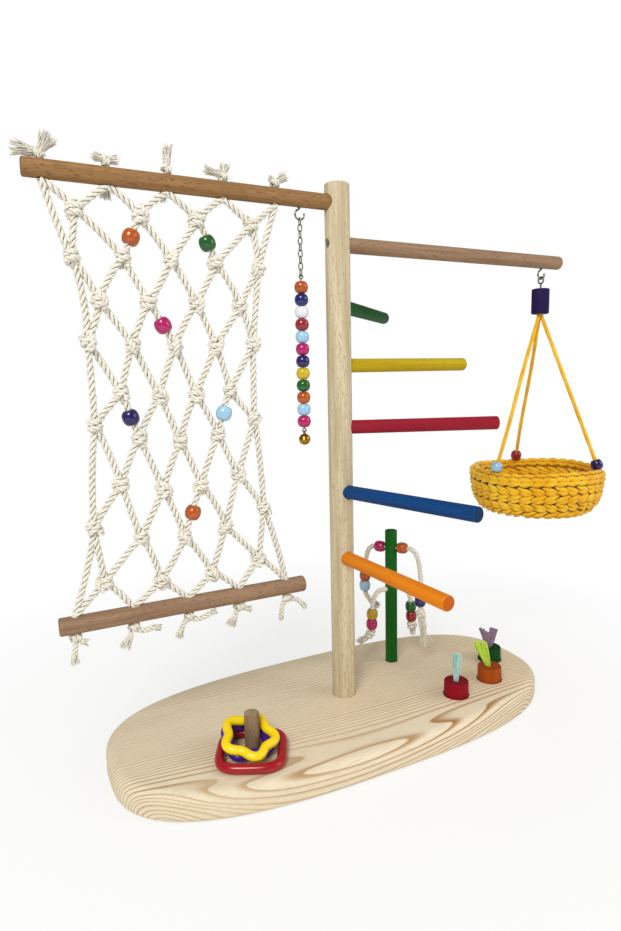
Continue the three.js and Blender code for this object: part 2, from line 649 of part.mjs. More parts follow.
// The line that a nest cord follows: from the knot, through its bead, into the basket's rim.
function nestCordLine(turn) {
  const start = vec(0, 0, knotHeight);
  const seat = heading(turn).multiplyScalar(rimMiddle).setZ(rimTop);
  return { start, seat, run: seat.clone().sub(start).normalize() };
}

function nestCordRod(turn, radius, extra) {
  const { start, seat, run } = nestCordLine(turn);
  const to = seat.clone().addScaledVector(run, NEST_CORD.intoRim + extra);
  return rod(start, to, radius, 10);
}

function nestCords() {
  const knot = new THREE.SphereGeometry(NEST_CORD.knot, 12, 8).translate(0, 0, knotHeight);
  return join(knot, ...nestTurns.map((turn) => nestCordRod(turn, NEST_CORD.radius, 0)));
}

function nestEye() {
  return join(
    wireRing(NEST_EYE.ring, NEST_EYE.wire).rotateZ(Math.PI / 2).translate(0, 0, eyeCentre),
    cylinder(NEST_EYE.wire, blockTop - NEST_EYE.intoBlock, eyeCentre - NEST_EYE.ring + 0.4, 8),
  );
}

function nestBlock() {
  return cut(
    dowel(NEST_BLOCK.radius, blockBottom, blockTop, NEST_BLOCK.round, 20),
    cylinder(NEST_EYE.wire + CLEAR, blockTop - NEST_EYE.intoBlock - CLEAR, blockTop + 1, 8),
    new THREE.SphereGeometry(NEST_CORD.knot + 2 * CLEAR, 14, 8).translate(0, 0, knotHeight),
  );
}

function rimBead(turn) {
  const { seat, run } = nestCordLine(turn);
  const lift = RIM_BEAD.length / 2 + CLEAR + 2.2;
  const shape = beads(RIM_BEAD.radius, RIM_BEAD.length, NEST_CORD.radius + CLEAR, 1, 10);
  return aimed(shape, seat.addScaledVector(run, -lift), run);
}

function nestBasket() {
  const bottom = rimTop - NEST.height;
  const inner = NEST.rimRadius - NEST.wall;
  const flare = NEST.rimRadius - NEST.footRadius;
  const profile = [
    [0, bottom],
    [NEST.footRadius - 10, bottom],
    [NEST.footRadius - 3, bottom + 2.5],
    [NEST.footRadius + 1, bottom + 8],
    [NEST.footRadius + flare * 0.7, bottom + NEST.height * 0.45],
    [NEST.rimRadius, rimTop - 7],
    ...arc(rimMiddle, rimTop - NEST.wall / 2, NEST.wall / 2, 30, 150, 4),
    [inner, rimTop - 8],
    [inner - flare * 0.4, bottom + NEST.height * 0.45],
    [NEST.footRadius - NEST.wall - 2, bottom + NEST.floor + 3],
    [NEST.footRadius - NEST.wall - 8, bottom + NEST.floor],
    [0, bottom + NEST.floor],
  ];
  return cut(
    turned(profile, 22),
    ...nestTurns.map((turn) => nestCordRod(turn, NEST_CORD.radius + CLEAR, CLEAR)),
  );
}

// ---------------------------------------------------------------- toy post, its ropes and their beads
// A direction in a hole's upright plane, and a point beside the toy post, in the toy post's frame.
const holeWay = (hole, [along, up]) => heading(hole.turn).multiplyScalar(along).setZ(up);
const besideHole = ({ hole, side }, [out, drop]) =>
  holeWay(hole, [side * (TOY_POST.radius + out), hole.height - drop]);

function toyPost() {
  const ropeHole = (hole) =>
    aimed(
      cylinder(TOY_ROPE.radius + CLEAR, -TOY_POST.radius - 2, TOY_POST.radius + 2, 10),
      vec(0, 0, hole.height),
      heading(hole.turn),
    );
  return cut(
    dowel(TOY_POST.radius, CLEAR - SOCKET_DEPTH, TOY_POST.height, TOY_POST.round, 16),
    ropeHole(UPPER_HOLE),
    ropeHole(LOWER_HOLE),
  );
}

// The frayed end of a rope: it widens away from "from" towards "to".
function tassel(rope, { from, to, width }) {
  const start = besideHole(rope, from);
  const run = besideHole(rope, to).sub(start);
  const length = run.length();
  const outline = [[0, -1], [2.4, -1], [width, length * 0.8], [width * 0.6, length], [0, length]];
  return aimed(turned(outline, 8), start, run);
}

function toyRope(rope) {
  const start = holeWay(rope.hole, [rope.side * ROPE_START, rope.hole.height]);
  const line = [start, ...rope.points.map((point) => besideHole(rope, point))];
  const pieces = [tube(line, TOY_ROPE.radius, 8, TOY_ROPE_STEPS)];
  if (rope.knot) {
    const { x, y, z } = besideHole(rope, rope.knot);
    pieces.push(new THREE.IcosahedronGeometry(TOY_ROPE.knot, 0).translate(x, y, z));
  }
  if (rope.tassel) pieces.push(tassel(rope, rope.tassel));
  return join(...pieces);
}

function toyBeads(spec) {
  const shape = beads(TOY_BEAD.radius, TOY_BEAD.length, TOY_BEAD.bore, spec.count, 10);
  return aimed(shape, besideHole(spec, spec.at), holeWay(spec.hole, spec.along));
}

// ---------------------------------------------------------------- stacking rings
const ringAcross = heading(RING_VIEW_TURN);
const ringBack = heading(RING_VIEW_TURN + 90);

function ringRadius(ring, angle) {
  if (ring.lobes) return ring.radius + ring.depth * Math.cos(ring.lobes * (angle - rad(ring.turn)));
  const power = RING_SQUARE_POWER;
  return ring.radius / (Math.abs(Math.cos(angle)) ** power + Math.abs(Math.sin(angle)) ** power) ** (1 / power);
}

// The middle line of a ring before it is lifted to its seat, in the peg's frame.
function ringLine(ring, steps) {
  const points = [];
  for (let i = 0; i < steps; i++) {
    const angle = (2 * Math.PI * i) / steps;
    const reach = ringRadius(ring, angle);
    const right = reach * Math.cos(angle);
    const back = reach * Math.sin(angle);
    const point = ringAcross.clone().multiplyScalar(right * Math.cos(rad(ring.lean)) + ring.right);
    point.addScaledVector(ringBack, back * Math.cos(rad(ring.tilt)) + ring.back);
    points.push(point.setZ(back * Math.sin(rad(ring.tilt)) + right * Math.sin(rad(ring.lean))));
  }
  return points;
}

const RING_STEPS = 24;
const SEAT_STEPS = 90;

// How far a ring is lifted so that it rests on the board and on the rings under it.
function ringSeat(ring, lower) {
  const line = ringLine(ring, SEAT_STEPS);
  let lift = ring.tube + CLEAR - Math.min(...line.map((p) => p.z));
  for (const under of lower) {
    const apart = ring.tube + under.ring.tube + 2 * CLEAR;
    for (const a of line) {
      for (const b of ringLine(under.ring, SEAT_STEPS)) {
        const gap = Math.hypot(a.x - b.x, a.y - b.y);
        if (gap < apart) lift = Math.max(lift, under.lift + b.z + Math.sqrt(apart ** 2 - gap ** 2) - a.z);
      }
    }
  }
  return lift;
}

function stackingRings() {
  const placed = [];
  return RINGS.map((ring) => {
    const lift = ringSeat(ring, placed);
    placed.push({ ring, lift });
    const shape = loopTube(ringLine(ring, RING_STEPS), ring.tube, 8);
    const made = mesh(ring.name, shape, glossy(RING_COLORS[ring.name]));
    made.position.z = lift;
    return made;
  });
}

// ---------------------------------------------------------------- pull-out plugs with paper tufts
function plugBody() {
  return cut(
    dowel(PLUG.radius, -PLUG.sunk, PLUG.proud, PLUG.round, 18),
    cylinder(PLUG.tuftHole, PLUG.proud - PLUG.tuftDepth, PLUG.proud + 1, 12),
  );
}

// The soft tuft that is glued in a plug: a stalk in the hole and a flat head that widens above it.
function paperTuft(plug) {
  const stalk = PLUG.tuftHole - CLEAR;
  const head = turned([[0, 0], [1, 0], [1, 0.75], [0.8, 0.95], [0, 1]], 12);
  head.scale(plug.width, plug.depth, plug.height);
  const spread = head.attributes.position;
  for (let i = 0; i < spread.count; i++) {
    const rise = spread.getZ(i) / plug.height;
    const narrow = stalk / plug.width;
    spread.setX(i, spread.getX(i) * (narrow + (1 - narrow) * rise) + Math.tan(rad(plug.lean)) * spread.getZ(i));
  }
  const top = PLUG.proud + CLEAR;
  return join(
    head.rotateZ(rad(plug.turn)).translate(0, 0, top),
    cylinder(Math.min(stalk, plug.depth), PLUG.proud - PLUG.tuftDepth + CLEAR, top + 0.5, 10),
  );
}

function plugs() {
  return PLUGS.map((plug) => groupAt(
    ...plugPlace(plug), boardTop,
    mesh(plug.name, plugBody(), dyed(plug.color)),
    mesh(plug.tuft, paperTuft(plug), { color: plug.tuftColor, roughness: 0.9, metalness: 0 }),
  ));
}

// ---------------------------------------------------------------- assembly
function screwAt(name, place, direction, length) {
  return mesh(name, aimed(woodScrew(length), place, direction), LOOK.steel);
}

function underNetArm() {
  const hookPlace = (child) => groupAt(-BEAD_HOOK.at, 0, -NET_ARM.radius, ...child);
  return [
    ...netHoles.map((at, i) => {
      const knot = mesh("net_knot_" + (i + 1), topKnot(), LOOK.rope);
      knot.position.x = -at;
      return knot;
    }),
    mesh("climbing_net", climbingNet(), LOOK.rope),
    groupAt(0, 0, -NET.drop, mesh("net_bar", netBar(), LOOK.bar)),
    ...NET_BEADS.map((spec) => mesh(
      spec.name,
      netBeadAt(spec, beads(NET_BEAD.radius, NET_BEAD.length, NET.cord / 2 + CLEAR, 1, 10)),
      glossy(spec.color),
    )),
    hookPlace([
      mesh("bead_hook", openHook(BEAD_HOOK), LOOK.nickel),
      mesh("bead_chain", beadChain(), LOOK.nickel),
      mesh("strand_wire", strandWire(), LOOK.nickel),
      mesh("strand_beads", strandBeads(), LOOK.strand),
      mesh("bell", jingleBell(), LOOK.brass),
    ]),
  ];
}

function underNestArm() {
  const beadNames = Object.keys(RIM_BEAD_COLORS);
  return groupAt(
    NEST_HOOK.at, 0, -NEST_ARM.radius,
    mesh("nest_hook", openHook(NEST_HOOK), LOOK.nickel),
    mesh("nest_eye", nestEye(), LOOK.nickel),
    mesh("nest_block", nestBlock(), LOOK.block),
    mesh("nest_cords", nestCords(), LOOK.yarn),
    ...nestTurns.map((turn, i) => {
      const name = beadNames[i];
      return mesh("rim_bead_" + name, rimBead(turn), glossy(RIM_BEAD_COLORS[name]));
    }),
    mesh("nest_basket", nestBasket(), LOOK.yarn),
  );
}

function toyPostGroup() {
  return groupAt(
    ...toyPostPlace, boardTop,
    mesh("toy_post", toyPost(), LOOK.toyGreen),
    ...TOY_ROPES.map((rope) => mesh(rope.name, toyRope(rope), LOOK.rope)),
    ...TOY_BEADS.map((spec) => mesh(spec.name, toyBeads(spec), glossy(spec.color))),
  );
}

function onPost() {
  const footScrewHead = SCREW.recess - BASE.thick;
  const footScrewLength = BASE.thick - SOCKET_DEPTH - SCREW.recess + SCREW.intoWood;
  return groupAt(
    POST.x, POST.y, boardTop,
    mesh("main_post", mainPost(), LOOK.beech),
    ...PERCHES.map(perch),
    screwAt("net_arm_screw", vec(armScrewFace, 0, netArmHeight), vec(1, 0, 0), armScrewLength),
    screwAt("nest_arm_screw", vec(-armScrewFace, 0, nestArmHeight), vec(-1, 0, 0), armScrewLength),
    screwAt("post_foot_screw", vec(0, 0, footScrewHead), vec(0, 0, -1), footScrewLength),
    groupAt(0, 0, netArmHeight, mesh("net_arm", netArm(), LOOK.arm), ...underNetArm()),
    groupAt(0, 0, nestArmHeight, mesh("nest_arm", nestArm(), LOOK.bar), underNestArm()),
  );
}

const ringPeg = dowel(RING_PEG.radius, CLEAR - SOCKET_DEPTH, RING_PEG.height, RING_PEG.round, 16);
const stand = new THREE.Group();
stand.add(
  mesh("base_board", baseBoard(), LOOK.pine),
  onPost(),
  toyPostGroup(),
  groupAt(
    ...ringPegPlace, boardTop,
    mesh("ring_peg", ringPeg, LOOK.peg),
    ...stackingRings(),
  ),
  ...plugs(),
);

export default stand;
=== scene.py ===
import random
from math import atan2, ceil, copysign, cos, pi, radians, sin, sqrt

import bmesh
import bpy
from mathutils import Matrix, Vector


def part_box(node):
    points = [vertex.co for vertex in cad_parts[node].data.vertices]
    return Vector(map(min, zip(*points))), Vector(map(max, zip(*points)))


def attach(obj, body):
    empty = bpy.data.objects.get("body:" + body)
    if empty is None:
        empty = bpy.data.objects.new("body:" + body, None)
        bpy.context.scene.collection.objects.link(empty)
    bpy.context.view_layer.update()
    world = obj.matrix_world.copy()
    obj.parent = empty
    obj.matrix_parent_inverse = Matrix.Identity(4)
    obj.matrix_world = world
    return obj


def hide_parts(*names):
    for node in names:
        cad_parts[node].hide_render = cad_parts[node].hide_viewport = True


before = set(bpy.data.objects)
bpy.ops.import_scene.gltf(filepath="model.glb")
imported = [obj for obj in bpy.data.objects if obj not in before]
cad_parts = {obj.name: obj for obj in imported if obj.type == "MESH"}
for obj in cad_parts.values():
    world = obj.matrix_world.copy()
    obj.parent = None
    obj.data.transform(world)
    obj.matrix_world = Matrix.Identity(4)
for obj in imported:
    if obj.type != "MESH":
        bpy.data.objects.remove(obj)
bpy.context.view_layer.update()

# ---------------- camera
# The stand was photographed from a little above its perches and from the left of its front, close by,
# with a wide lens. The picture is 621 wide and 931 tall, and the focal length is given in its pixels.
PICTURE_TALL = 931
FOCAL_PIXELS = 627.97
SENSOR = 36
CAMERA_PLACE = Vector((-0.2747, -0.4970, 0.3266))
YAW, PITCH, ROLL = 0.4639, 0.1401, -0.0216
flat_ahead = Vector((sin(YAW), cos(YAW), 0))
flat_right = Vector((cos(YAW), -sin(YAW), 0))
straight_up = Vector((0, 0, 1))
ahead = flat_ahead * cos(PITCH) - straight_up * sin(PITCH)
above = flat_ahead * sin(PITCH) + straight_up * cos(PITCH)
camera_right = flat_right * cos(ROLL) + above * sin(ROLL)
camera_up = above * cos(ROLL) - flat_right * sin(ROLL)
camera = bpy.data.objects.new("camera", bpy.data.cameras.new("camera"))
camera.data.sensor_width = SENSOR
camera.data.lens = FOCAL_PIXELS * SENSOR / PICTURE_TALL
turn = Matrix((camera_right, camera_up, -ahead)).transposed().to_4x4()
camera.matrix_world = Matrix.Translation(CAMERA_PLACE) @ turn
bpy.context.scene.collection.objects.link(camera)
bpy.context.scene.camera = camera
bpy.context.scene.view_settings.view_transform = "Standard"


# ---------------- floor and light
# A white studio: a matt floor that runs into a white surround, one large softbox high on the left and a
# weaker one on the right. The floor shows a soft shadow near the stand and nothing further out.
def ink(code):
    """A linear colour from an sRGB hex value."""
    parts = [int(code[i:i + 2], 16) / 255 for i in (1, 3, 5)]
    return [c / 12.92 if c <= 0.04045 else ((c + 0.055) / 1.055) ** 2.4 for c in parts] + [1]


def add(tree, kind, feeds=None, **settings):
    """Adds a node. Feeds gives inputs a value, or the node or output that feeds them."""
    made = tree.nodes.new("ShaderNode" + kind)
    for name, value in settings.items():
        setattr(made, name, value)
    for socket, value in (feeds or {}).items():
        if isinstance(value, bpy.types.Node):
            value = value.outputs[0]
        if isinstance(value, bpy.types.NodeSocket):
            tree.links.new(value, made.inputs[socket])
        else:
            made.inputs[socket].default_value = value
    return made


def mix(tree, share, low, high):
    """A colour between low, where the share is 0, and high. A colour is a hex value or an output."""
    low, high = (ink(colour) if isinstance(colour, str) else colour for colour in (low, high))
    return add(tree, "Mix", {0: share, 6: low, 7: high}, data_type="RGBA").outputs[2]


def remap(tree, value, source=(0, 1), target=(0, 1), **settings):
    """Carries a value over from one range to another, and holds it inside."""
    return add(tree, "MapRange", {"Value": value, "From Min": source[0], "From Max": source[1],
                                  "To Min": target[0], "To Max": target[1]}, **settings)


def maths(tree, operation, *values):
    return add(tree, "Math", dict(enumerate(values)), operation=operation)


def noise(tree, place, scale, detail=2, rough=0.5, distortion=0):
    """Noise whose features are 1/scale metres apart. Three scales stretch it along the axes."""
    if isinstance(scale, tuple):
        place, scale = add(tree, "Mapping", {"Vector": place, "Scale": scale}), 1
    return add(tree, "TexNoise", {
        "Vector": place, "Scale": scale, "Detail": detail, "Roughness": rough, "Distortion": distortion})


def relief(tree, height, strength, distance, **settings):
    return add(tree, "Bump", {"Height": height, "Strength": strength, "Distance": distance}, **settings)


def new_finish(name):
    """A material with an empty node tree, and the tree."""
    finish = bpy.data.materials.new(name)
    finish.use_nodes = True
    finish.node_tree.nodes.clear()
    return finish, finish.node_tree


def surfaced(finish, colour, rough, normal, **more):
    """Gives a finish its surface. More holds further inputs of the shader, with _ for their spaces."""
    feeds = {"Base Color": colour, "Roughness": rough, "Normal": normal}
    feeds.update({name.replace("_", " "): value for name, value in more.items()})
    tree = finish.node_tree
    add(tree, "OutputMaterial", {"Surface": add(tree, "BsdfPrincipled", feeds)})
    return finish


def object_place(tree):
    return add(tree, "TexCoord").outputs["Object"]


FLOOR_SIZE = 6
SHADOW_FULL, SHADOW_REACH = 0.2, 0.55
FLOOR_CLEAR = 0.0002
floor_shape = bmesh.new()
bmesh.ops.create_grid(floor_shape, x_segments=1, y_segments=1, size=FLOOR_SIZE / 2)
bmesh.ops.translate(floor_shape, verts=floor_shape.verts, vec=(0, 0, -FLOOR_CLEAR))
floor_mesh = bpy.data.meshes.new("floor")
floor_shape.to_mesh(floor_mesh)
floor_shape.free()
floor = bpy.data.objects.new("floor", floor_mesh)
bpy.context.scene.collection.objects.link(floor)
white_floor, tree = new_finish("white matt paper")
away = add(tree, "VectorMath", {0: object_place(tree)}, operation="LENGTH").outputs["Value"]
fade = remap(tree, away, (SHADOW_FULL, SHADOW_REACH), (0.62, 1))
share = maths(tree, "MULTIPLY", fade, add(tree, "LightPath").outputs["Is Camera Ray"])
paper = add(tree, "BsdfDiffuse", {"Color": ink("#F4F4F2")})
glow = add(tree, "Emission", {"Color": ink("#FFFFFF"), "Strength": 1.0})
add(tree, "OutputMaterial", {"Surface": add(tree, "MixShader", {0: share, 1: paper, 2: glow})})
floor_mesh.materials.append(white_floor)

DIFFUSE_LIGHT, GLOSSY_LIGHT = 0.5, 0.26
world = bpy.data.worlds.new("white surround")
world.use_nodes = True
world.node_tree.nodes.clear()
tree = world.node_tree
path = add(tree, "LightPath")
dim = remap(tree, path.outputs["Is Glossy Ray"], target=(DIFFUSE_LIGHT, GLOSSY_LIGHT))
strength = remap(tree, path.outputs["Is Camera Ray"], target=(dim, 1))
surround = add(tree, "Background", {"Color": ink("#FFFFFF"), "Strength": strength})
add(tree, "OutputWorld", {"Surface": surround})
bpy.context.scene.world = world

AIM = Vector((0, 0, 0.2))


def softbox(name, place, size, power):
    """A square lamp that faces the stand."""
    lamp = bpy.data.lights.new(name, "AREA")
    lamp.size = size
    lamp.energy = power
    holder = bpy.data.objects.new(name, lamp)
    facing = (AIM - Vector(place)).to_track_quat("-Z", "Y").to_matrix().to_4x4()
    holder.matrix_world = Matrix.Translation(place) @ facing
    bpy.context.scene.collection.objects.link(holder)


softbox("softbox_left", (-1.2, -1.3, 1.7), 0.8, 32)
softbox("softbox_right", (1.4, -1.1, 1.0), 1.0, 8)

# ---------------- toy ropes
# Two white cotton ropes pass through the green toy post, one over the other, and hang down on both sides.
# Each is laid from three strands, 5.5 mm thick, and its ends are knotted under their beads and frayed.
MM = 0.001
TOY_FOOT = Vector((85.7, 38.7, 23))
UPPER, LOWER = -48, -5  # the way each hole runs, in degrees
ROPE_WIDE = 5.5
YARN = 0.42  # the radius of one loose yarn of a frayed end


def heading_of(degrees):
    return Vector((cos(radians(degrees)), sin(radians(degrees)), 0))


def up(height):
    return Vector((0, 0, height))


def toy_point(hole, along, height):
    """A place in a hole's upright plane: how far along the hole's direction, and how high over the board."""
    return TOY_FOOT + heading_of(hole) * along + up(height)


def through(points, step):
    """A smooth line through points, given as points about a step apart."""
    ends = [2 * points[0] - points[1], *points, 2 * points[-1] - points[-2]]
    line = []
    for a, b, c, d in zip(ends, ends[1:], ends[2:], ends[3:]):
        count = max(1, ceil((c - b).length / step))
        for i in range(count):
            t = i / count
            line.append(b + (c - a) * t / 2 + (a - b * 2.5 + c * 2 - d * 0.5) * t ** 2
                        + (b * 1.5 - a * 0.5 - c * 1.5 + d * 0.5) * t ** 3)
    return [*line, points[-1]]


def laid(line, offset, pitch, plies=3, start=0.0):
    """The middle lines of a rope's strands, which wind round a line and make one turn in each pitch."""
    strands = [[] for _ in range(plies)]
    side = (line[1] - line[0]).orthogonal().normalized()
    travelled = 0
    for i, point in enumerate(line):
        forward = (line[min(i + 1, len(line) - 1)] - line[max(i - 1, 0)]).normalized()
        side = (side - forward * side.dot(forward)).normalized()
        across = forward.cross(side)
        if i:
            travelled += (point - line[i - 1]).length
        for k, strand in enumerate(strands):
            angle = start + 2 * pi * (travelled / pitch + k / plies)
            strand.append(point + side * offset * cos(angle) + across * offset * sin(angle))
    return strands


def swept(name, lines, radius, finish, sides=1, closed=False, taper=None, flat=0.0, tilt=None):
    """Strands that follow lines, in mm. A strand has 4 faces round, and 2 more for each of its sides' steps.
    Taper gives the thickness at each share of the way, flat widens the section into a ribbon."""
    data = bpy.data.curves.new(name, "CURVE")
    data.dimensions = "3D"
    data.bevel_depth = radius * MM
    data.bevel_resolution = sides
    data.extrude = flat * MM
    data.use_fill_caps = not closed
    for line in lines:
        spline = data.splines.new("POLY")
        spline.points.add(len(line) - 1)
        spline.points.foreach_set("co", [c for p in line for c in (*(p * MM), 1)])
        if taper:
            spline.points.foreach_set("radius", [taper(i / (len(line) - 1)) for i in range(len(line))])
        if tilt:
            spline.points.foreach_set("tilt", [tilt(i / (len(line) - 1)) for i in range(len(line))])
        spline.use_cyclic_u = closed
    curve = bpy.data.objects.new(name, data)
    mesh = bpy.data.meshes.new_from_object(curve)
    bpy.data.curves.remove(data)
    mesh.name = name
    mesh.materials.clear()
    mesh.materials.append(finish)
    mesh.shade_smooth()
    mesh.set_sharp_from_angle(angle=radians(60))
    piece = bpy.data.objects.new(name, mesh)
    bpy.context.scene.collection.objects.link(piece)
    return piece


def settle(piece, body, slot, *nodes):
    """Rides a finished piece on its body, and hides the CAD nodes that it is drawn instead of."""
    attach(piece, body)
    if nodes:
        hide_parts(*nodes)
    return piece


def rope_lines(points, wide, pitch=16.0, start=0.0, step=1.2):
    """The three strands of a rope of a given width through points."""
    return laid(through(points, step), wide * 0.28, pitch, 3, start)


def knot_lines(centre, axis, wide, seed, wraps=2.2):
    """A rope's knot: a barrel of wraps round an axis, and one pass of the rope that crosses over them."""
    draw = random.Random(seed)
    turn = up(1).rotation_difference(axis).to_matrix()
    first, size = draw.uniform(0, 2 * pi), wide / 5.5
    lean = draw.choice((-0.9, 0.9))

    def spot(angle, reach, height):
        return centre + turn @ (Vector((reach * cos(angle), reach * sin(angle), height)) * size)

    barrel = [spot(first + 2 * pi * wraps * t, 2.7 + 1.2 * sin(pi * t), (t - 0.5) * 9.6)
              for t in (i / 30 for i in range(31))]
    crossing = [spot(first + 2.2 + lean * (2 * t - 1), 2.4 + 2.9 * sin(pi * t), (t - 0.5) * 13)
                for t in (i / 14 for i in range(15))]
    return laid(barrel, wide * 0.25, 12, 3, first) + laid(crossing, wide * 0.25, 12, 3, first)


def fray_lines(start, run, root, spread, count, seed, wave=1.0, points=6):
    """Loose yarns of a cut rope end: they leave a root side by side and part along a run."""
    draw = random.Random(seed)
    side = run.orthogonal().normalized()
    across = run.cross(side).normalized()
    length = run.length
    lines = []
    for _ in range(count):
        angle, out = draw.uniform(0, 2 * pi), sqrt(draw.random())
        aside = side * cos(angle) + across * sin(angle)
        reach = draw.uniform(0.72, 1.06)
        bend = draw.uniform(0, 2 * pi)
        sway = (side * cos(bend) + across * sin(bend)) * wave * draw.uniform(0.3, 1.0)
        line = []
        for i in range(points):
            t = i / (points - 1)
            drift = aside * out * (root + (spread - root) * t ** 1.4)
            line.append(start + run * t * reach + drift + sway * sin(t * pi * 1.6) * length * 0.06)
        lines.append(line)
    return lines


def cotton_finish():
    """White cotton rope yarn: matt, warm, with fine fuzz, and with painted shade in the grooves between its
    strands, where the AO node darkens it.
    """
    finish, tree = new_finish("laid cotton rope")
    place = object_place(tree)
    fibre = noise(tree, place, 1100, 3, 0.7)
    stained = mix(tree, noise(tree, place, 45), "#E9E3D2", "#FBF8F0")
    yarn = mix(tree, remap(tree, fibre, (0.3, 0.6)), "#D3CBB6", stained)
    # Painted shade: where the AO node finds the grooves between strands hidden, the yarn is darkened to
    # #A69D84.
    groove = add(tree, "AmbientOcclusion", {"Distance": 0.002}, samples=4)
    unshaded_share = remap(tree, groove.outputs["AO"], (0.2, 0.65))
    return surfaced(finish, mix(tree, unshaded_share, "#A69D84", yarn), 0.92, relief(tree, fibre, 0.5, 0.0004),
                    IOR=1.45, Sheen_Weight=0.15, Sheen_Roughness=0.5, Specular_IOR_Level=0.2)


cotton = cotton_finish()

TOY_ROPES = [
    {"name": "toy_rope_upper_left", "body": "rope_upper_left", "hole": UPPER, "length": 0.082, "side": -1,
     "route": [(-0.2, 125), (-17.8, 125), (-20.5, 124.2), (-24.5, 120.5), (-27, 112), (-28.6, 100), (-29, 84),
               (-28, 72), (-24, 66)],
     "tuft": ((-24.5, 66.5), (-13, 58), 4.4, 60)},
    {"name": "toy_rope_upper_right", "body": "rope_upper_right", "hole": UPPER, "length": 0.092, "side": 1,
     "route": [(0.2, 125), (17.8, 125), (20.5, 124.5), (25.5, 121), (29, 112), (31, 98), (31.5, 84), (31, 68),
               (31.5, 56)],
     "knot": (31.5, 56), "tuft": ((31.5, 54), (37, 22), 5, 34)},
    {"name": "toy_rope_lower_left", "body": "rope_lower_left", "hole": LOWER, "length": 0.066, "side": -1,
     "route": [(-0.2, 80), (-8, 80), (-14, 79.5), (-19.5, 74.5), (-22.3, 64), (-23, 52), (-23.3, 40),
               (-24.5, 36), (-28, 32)],
     "knot": (-25.5, 34), "tuft": ((-28, 32), (-40, 26.5), 4, 60)},
    {"name": "toy_rope_lower_right", "body": "rope_lower_right", "hole": LOWER, "length": 0.061, "side": 1,
     "route": [(0.2, 80), (8, 80), (14, 79.6), (20, 74.5), (23.2, 65), (24, 54), (24.5, 42), (24.6, 36)],
     "knot": (24.6, 36), "tuft": ((24.6, 36), (27, 24), 4, 40)},
]
TOY_POST_RADIUS = 6.25
for number, rope in enumerate(TOY_ROPES):
    hole, body = rope["hole"], rope["body"]
    line = through([toy_point(hole, *p) for p in rope["route"]], 1)
    strands = laid(line, ROPE_WIDE * 0.285, 9)
    piece = swept(rope["name"] + "_laid", strands, ROPE_WIDE * 0.215, cotton)
    settle(piece, body, "rope", rope["name"])
    ends = []
    if "knot" in rope:
        knot = knot_lines(toy_point(hole, *rope["knot"]), line[-1] - line[-4], 4.6, number)
        ends.append(swept(rope["name"] + "_knot", knot, 1.05, cotton))
    start, end, spread, count = rope["tuft"]
    start, end = toy_point(hole, *start), toy_point(hole, *end)
    yarns = fray_lines(start, end - start, 2.1, spread, count, 30 + number, wave=1.6, points=8)
    ends.append(swept(rope["name"] + "_frayed", yarns, YARN, cotton, 0, taper=lambda t: 1.25 - 0.7 * t))
    for end_piece in ends:
        settle(end_piece, body, "rope")
    rope["piece"], rope["ends"] = piece, ends
    rope["path"] = [p * MM for p in line]


# ---------------- toy beads
# Ten turned wooden beads, 12 mm across, are threaded on the toy ropes. They are dipped in thick glossy
# lacquer: one beside the post on each upper rope, and two above each free end.
def eased(radius, foot, tip, rounding, steps=4):
    """The outline of a dowel whose ends are eased, from its foot to its tip."""
    outline = [(0, foot)]
    for middle, first in ((foot + rounding, -90), (tip - rounding, 0)):
        for i in range(steps + 1):
            angle = radians(first + 90 * i / steps)
            outline.append((radius - rounding + rounding * cos(angle), middle + rounding * sin(angle)))
    return [*outline, (0, tip)]


def finished(name, shape, finish, sharp=40):
    """Makes a piece from a bmesh in mm, smooth apart from its sharp edges."""
    bmesh.ops.remove_doubles(shape, verts=shape.verts, dist=0.0005)
    bmesh.ops.recalc_face_normals(shape, faces=shape.faces)
    bmesh.ops.scale(shape, vec=(MM, MM, MM), verts=shape.verts)
    mesh = bpy.data.meshes.new(name)
    shape.to_mesh(mesh)
    shape.free()
    mesh.materials.append(finish)
    mesh.shade_smooth()
    mesh.set_sharp_from_angle(angle=radians(sharp))
    piece = bpy.data.objects.new(name, mesh)
    bpy.context.scene.collection.objects.link(piece)
    return piece


def stood(at, along):
    """The placing of a shape that was made upright, and stands at a point along a direction."""
    return Matrix.Translation(at) @ up(1).rotation_difference(Vector(along)).to_matrix().to_4x4()


def ball_outline(radius, step, ridge=0):
    """The outline of a ball, from its foot to its top, with a ridge round its middle."""
    outline = []
    for degrees in range(-90, 91, step):
        reach = radius + (ridge if degrees == 0 else 0)
        outline.append((reach * cos(radians(degrees)), radius * sin(radians(degrees))))
    return outline


def turned(name, outline, finish, at=(0, 0, 0), along=(0, 0, 1), steps=48, sharp=40):
    """A piece turned on a lathe from an outline of radius and height, then stood along a direction."""
    shape = bmesh.new()
    corners = [shape.verts.new((radius, 0, height)) for radius, height in outline]
    ring = corners + corners[:1] if outline[0][0] > 0 else corners
    edges = [shape.edges.new(pair) for pair in zip(ring, ring[1:])]
    bmesh.ops.spin(shape, geom=corners + edges, cent=(0, 0, 0), axis=(0, 0, 1), angle=2 * pi, steps=steps,
                   use_merge=True)
    bmesh.ops.transform(shape, matrix=stood(at, along), verts=shape.verts)
    return finished(name, shape, finish, sharp)


def bead(name, at, along, radius, length, bore, finish, full=0.9):
    """A bead with a bore and eased mouths. Its sides are as full as a ball's at 1, and fuller below that."""
    half, mouth = length / 2, bore + 0.4
    outline = [(bore, 0.5 - half), (bore + 0.15, 0.12 - half)]
    for i in range(19):
        angle = (i / 9 - 1) * pi / 2
        outline.append((mouth + (radius - mouth) * max(0, cos(angle)) ** full, half * sin(angle)))
    outline += [(bore + 0.15, half - 0.12), (bore, half - 0.5)]
    return turned(name, outline, finish, at, along, steps=32, sharp=50)


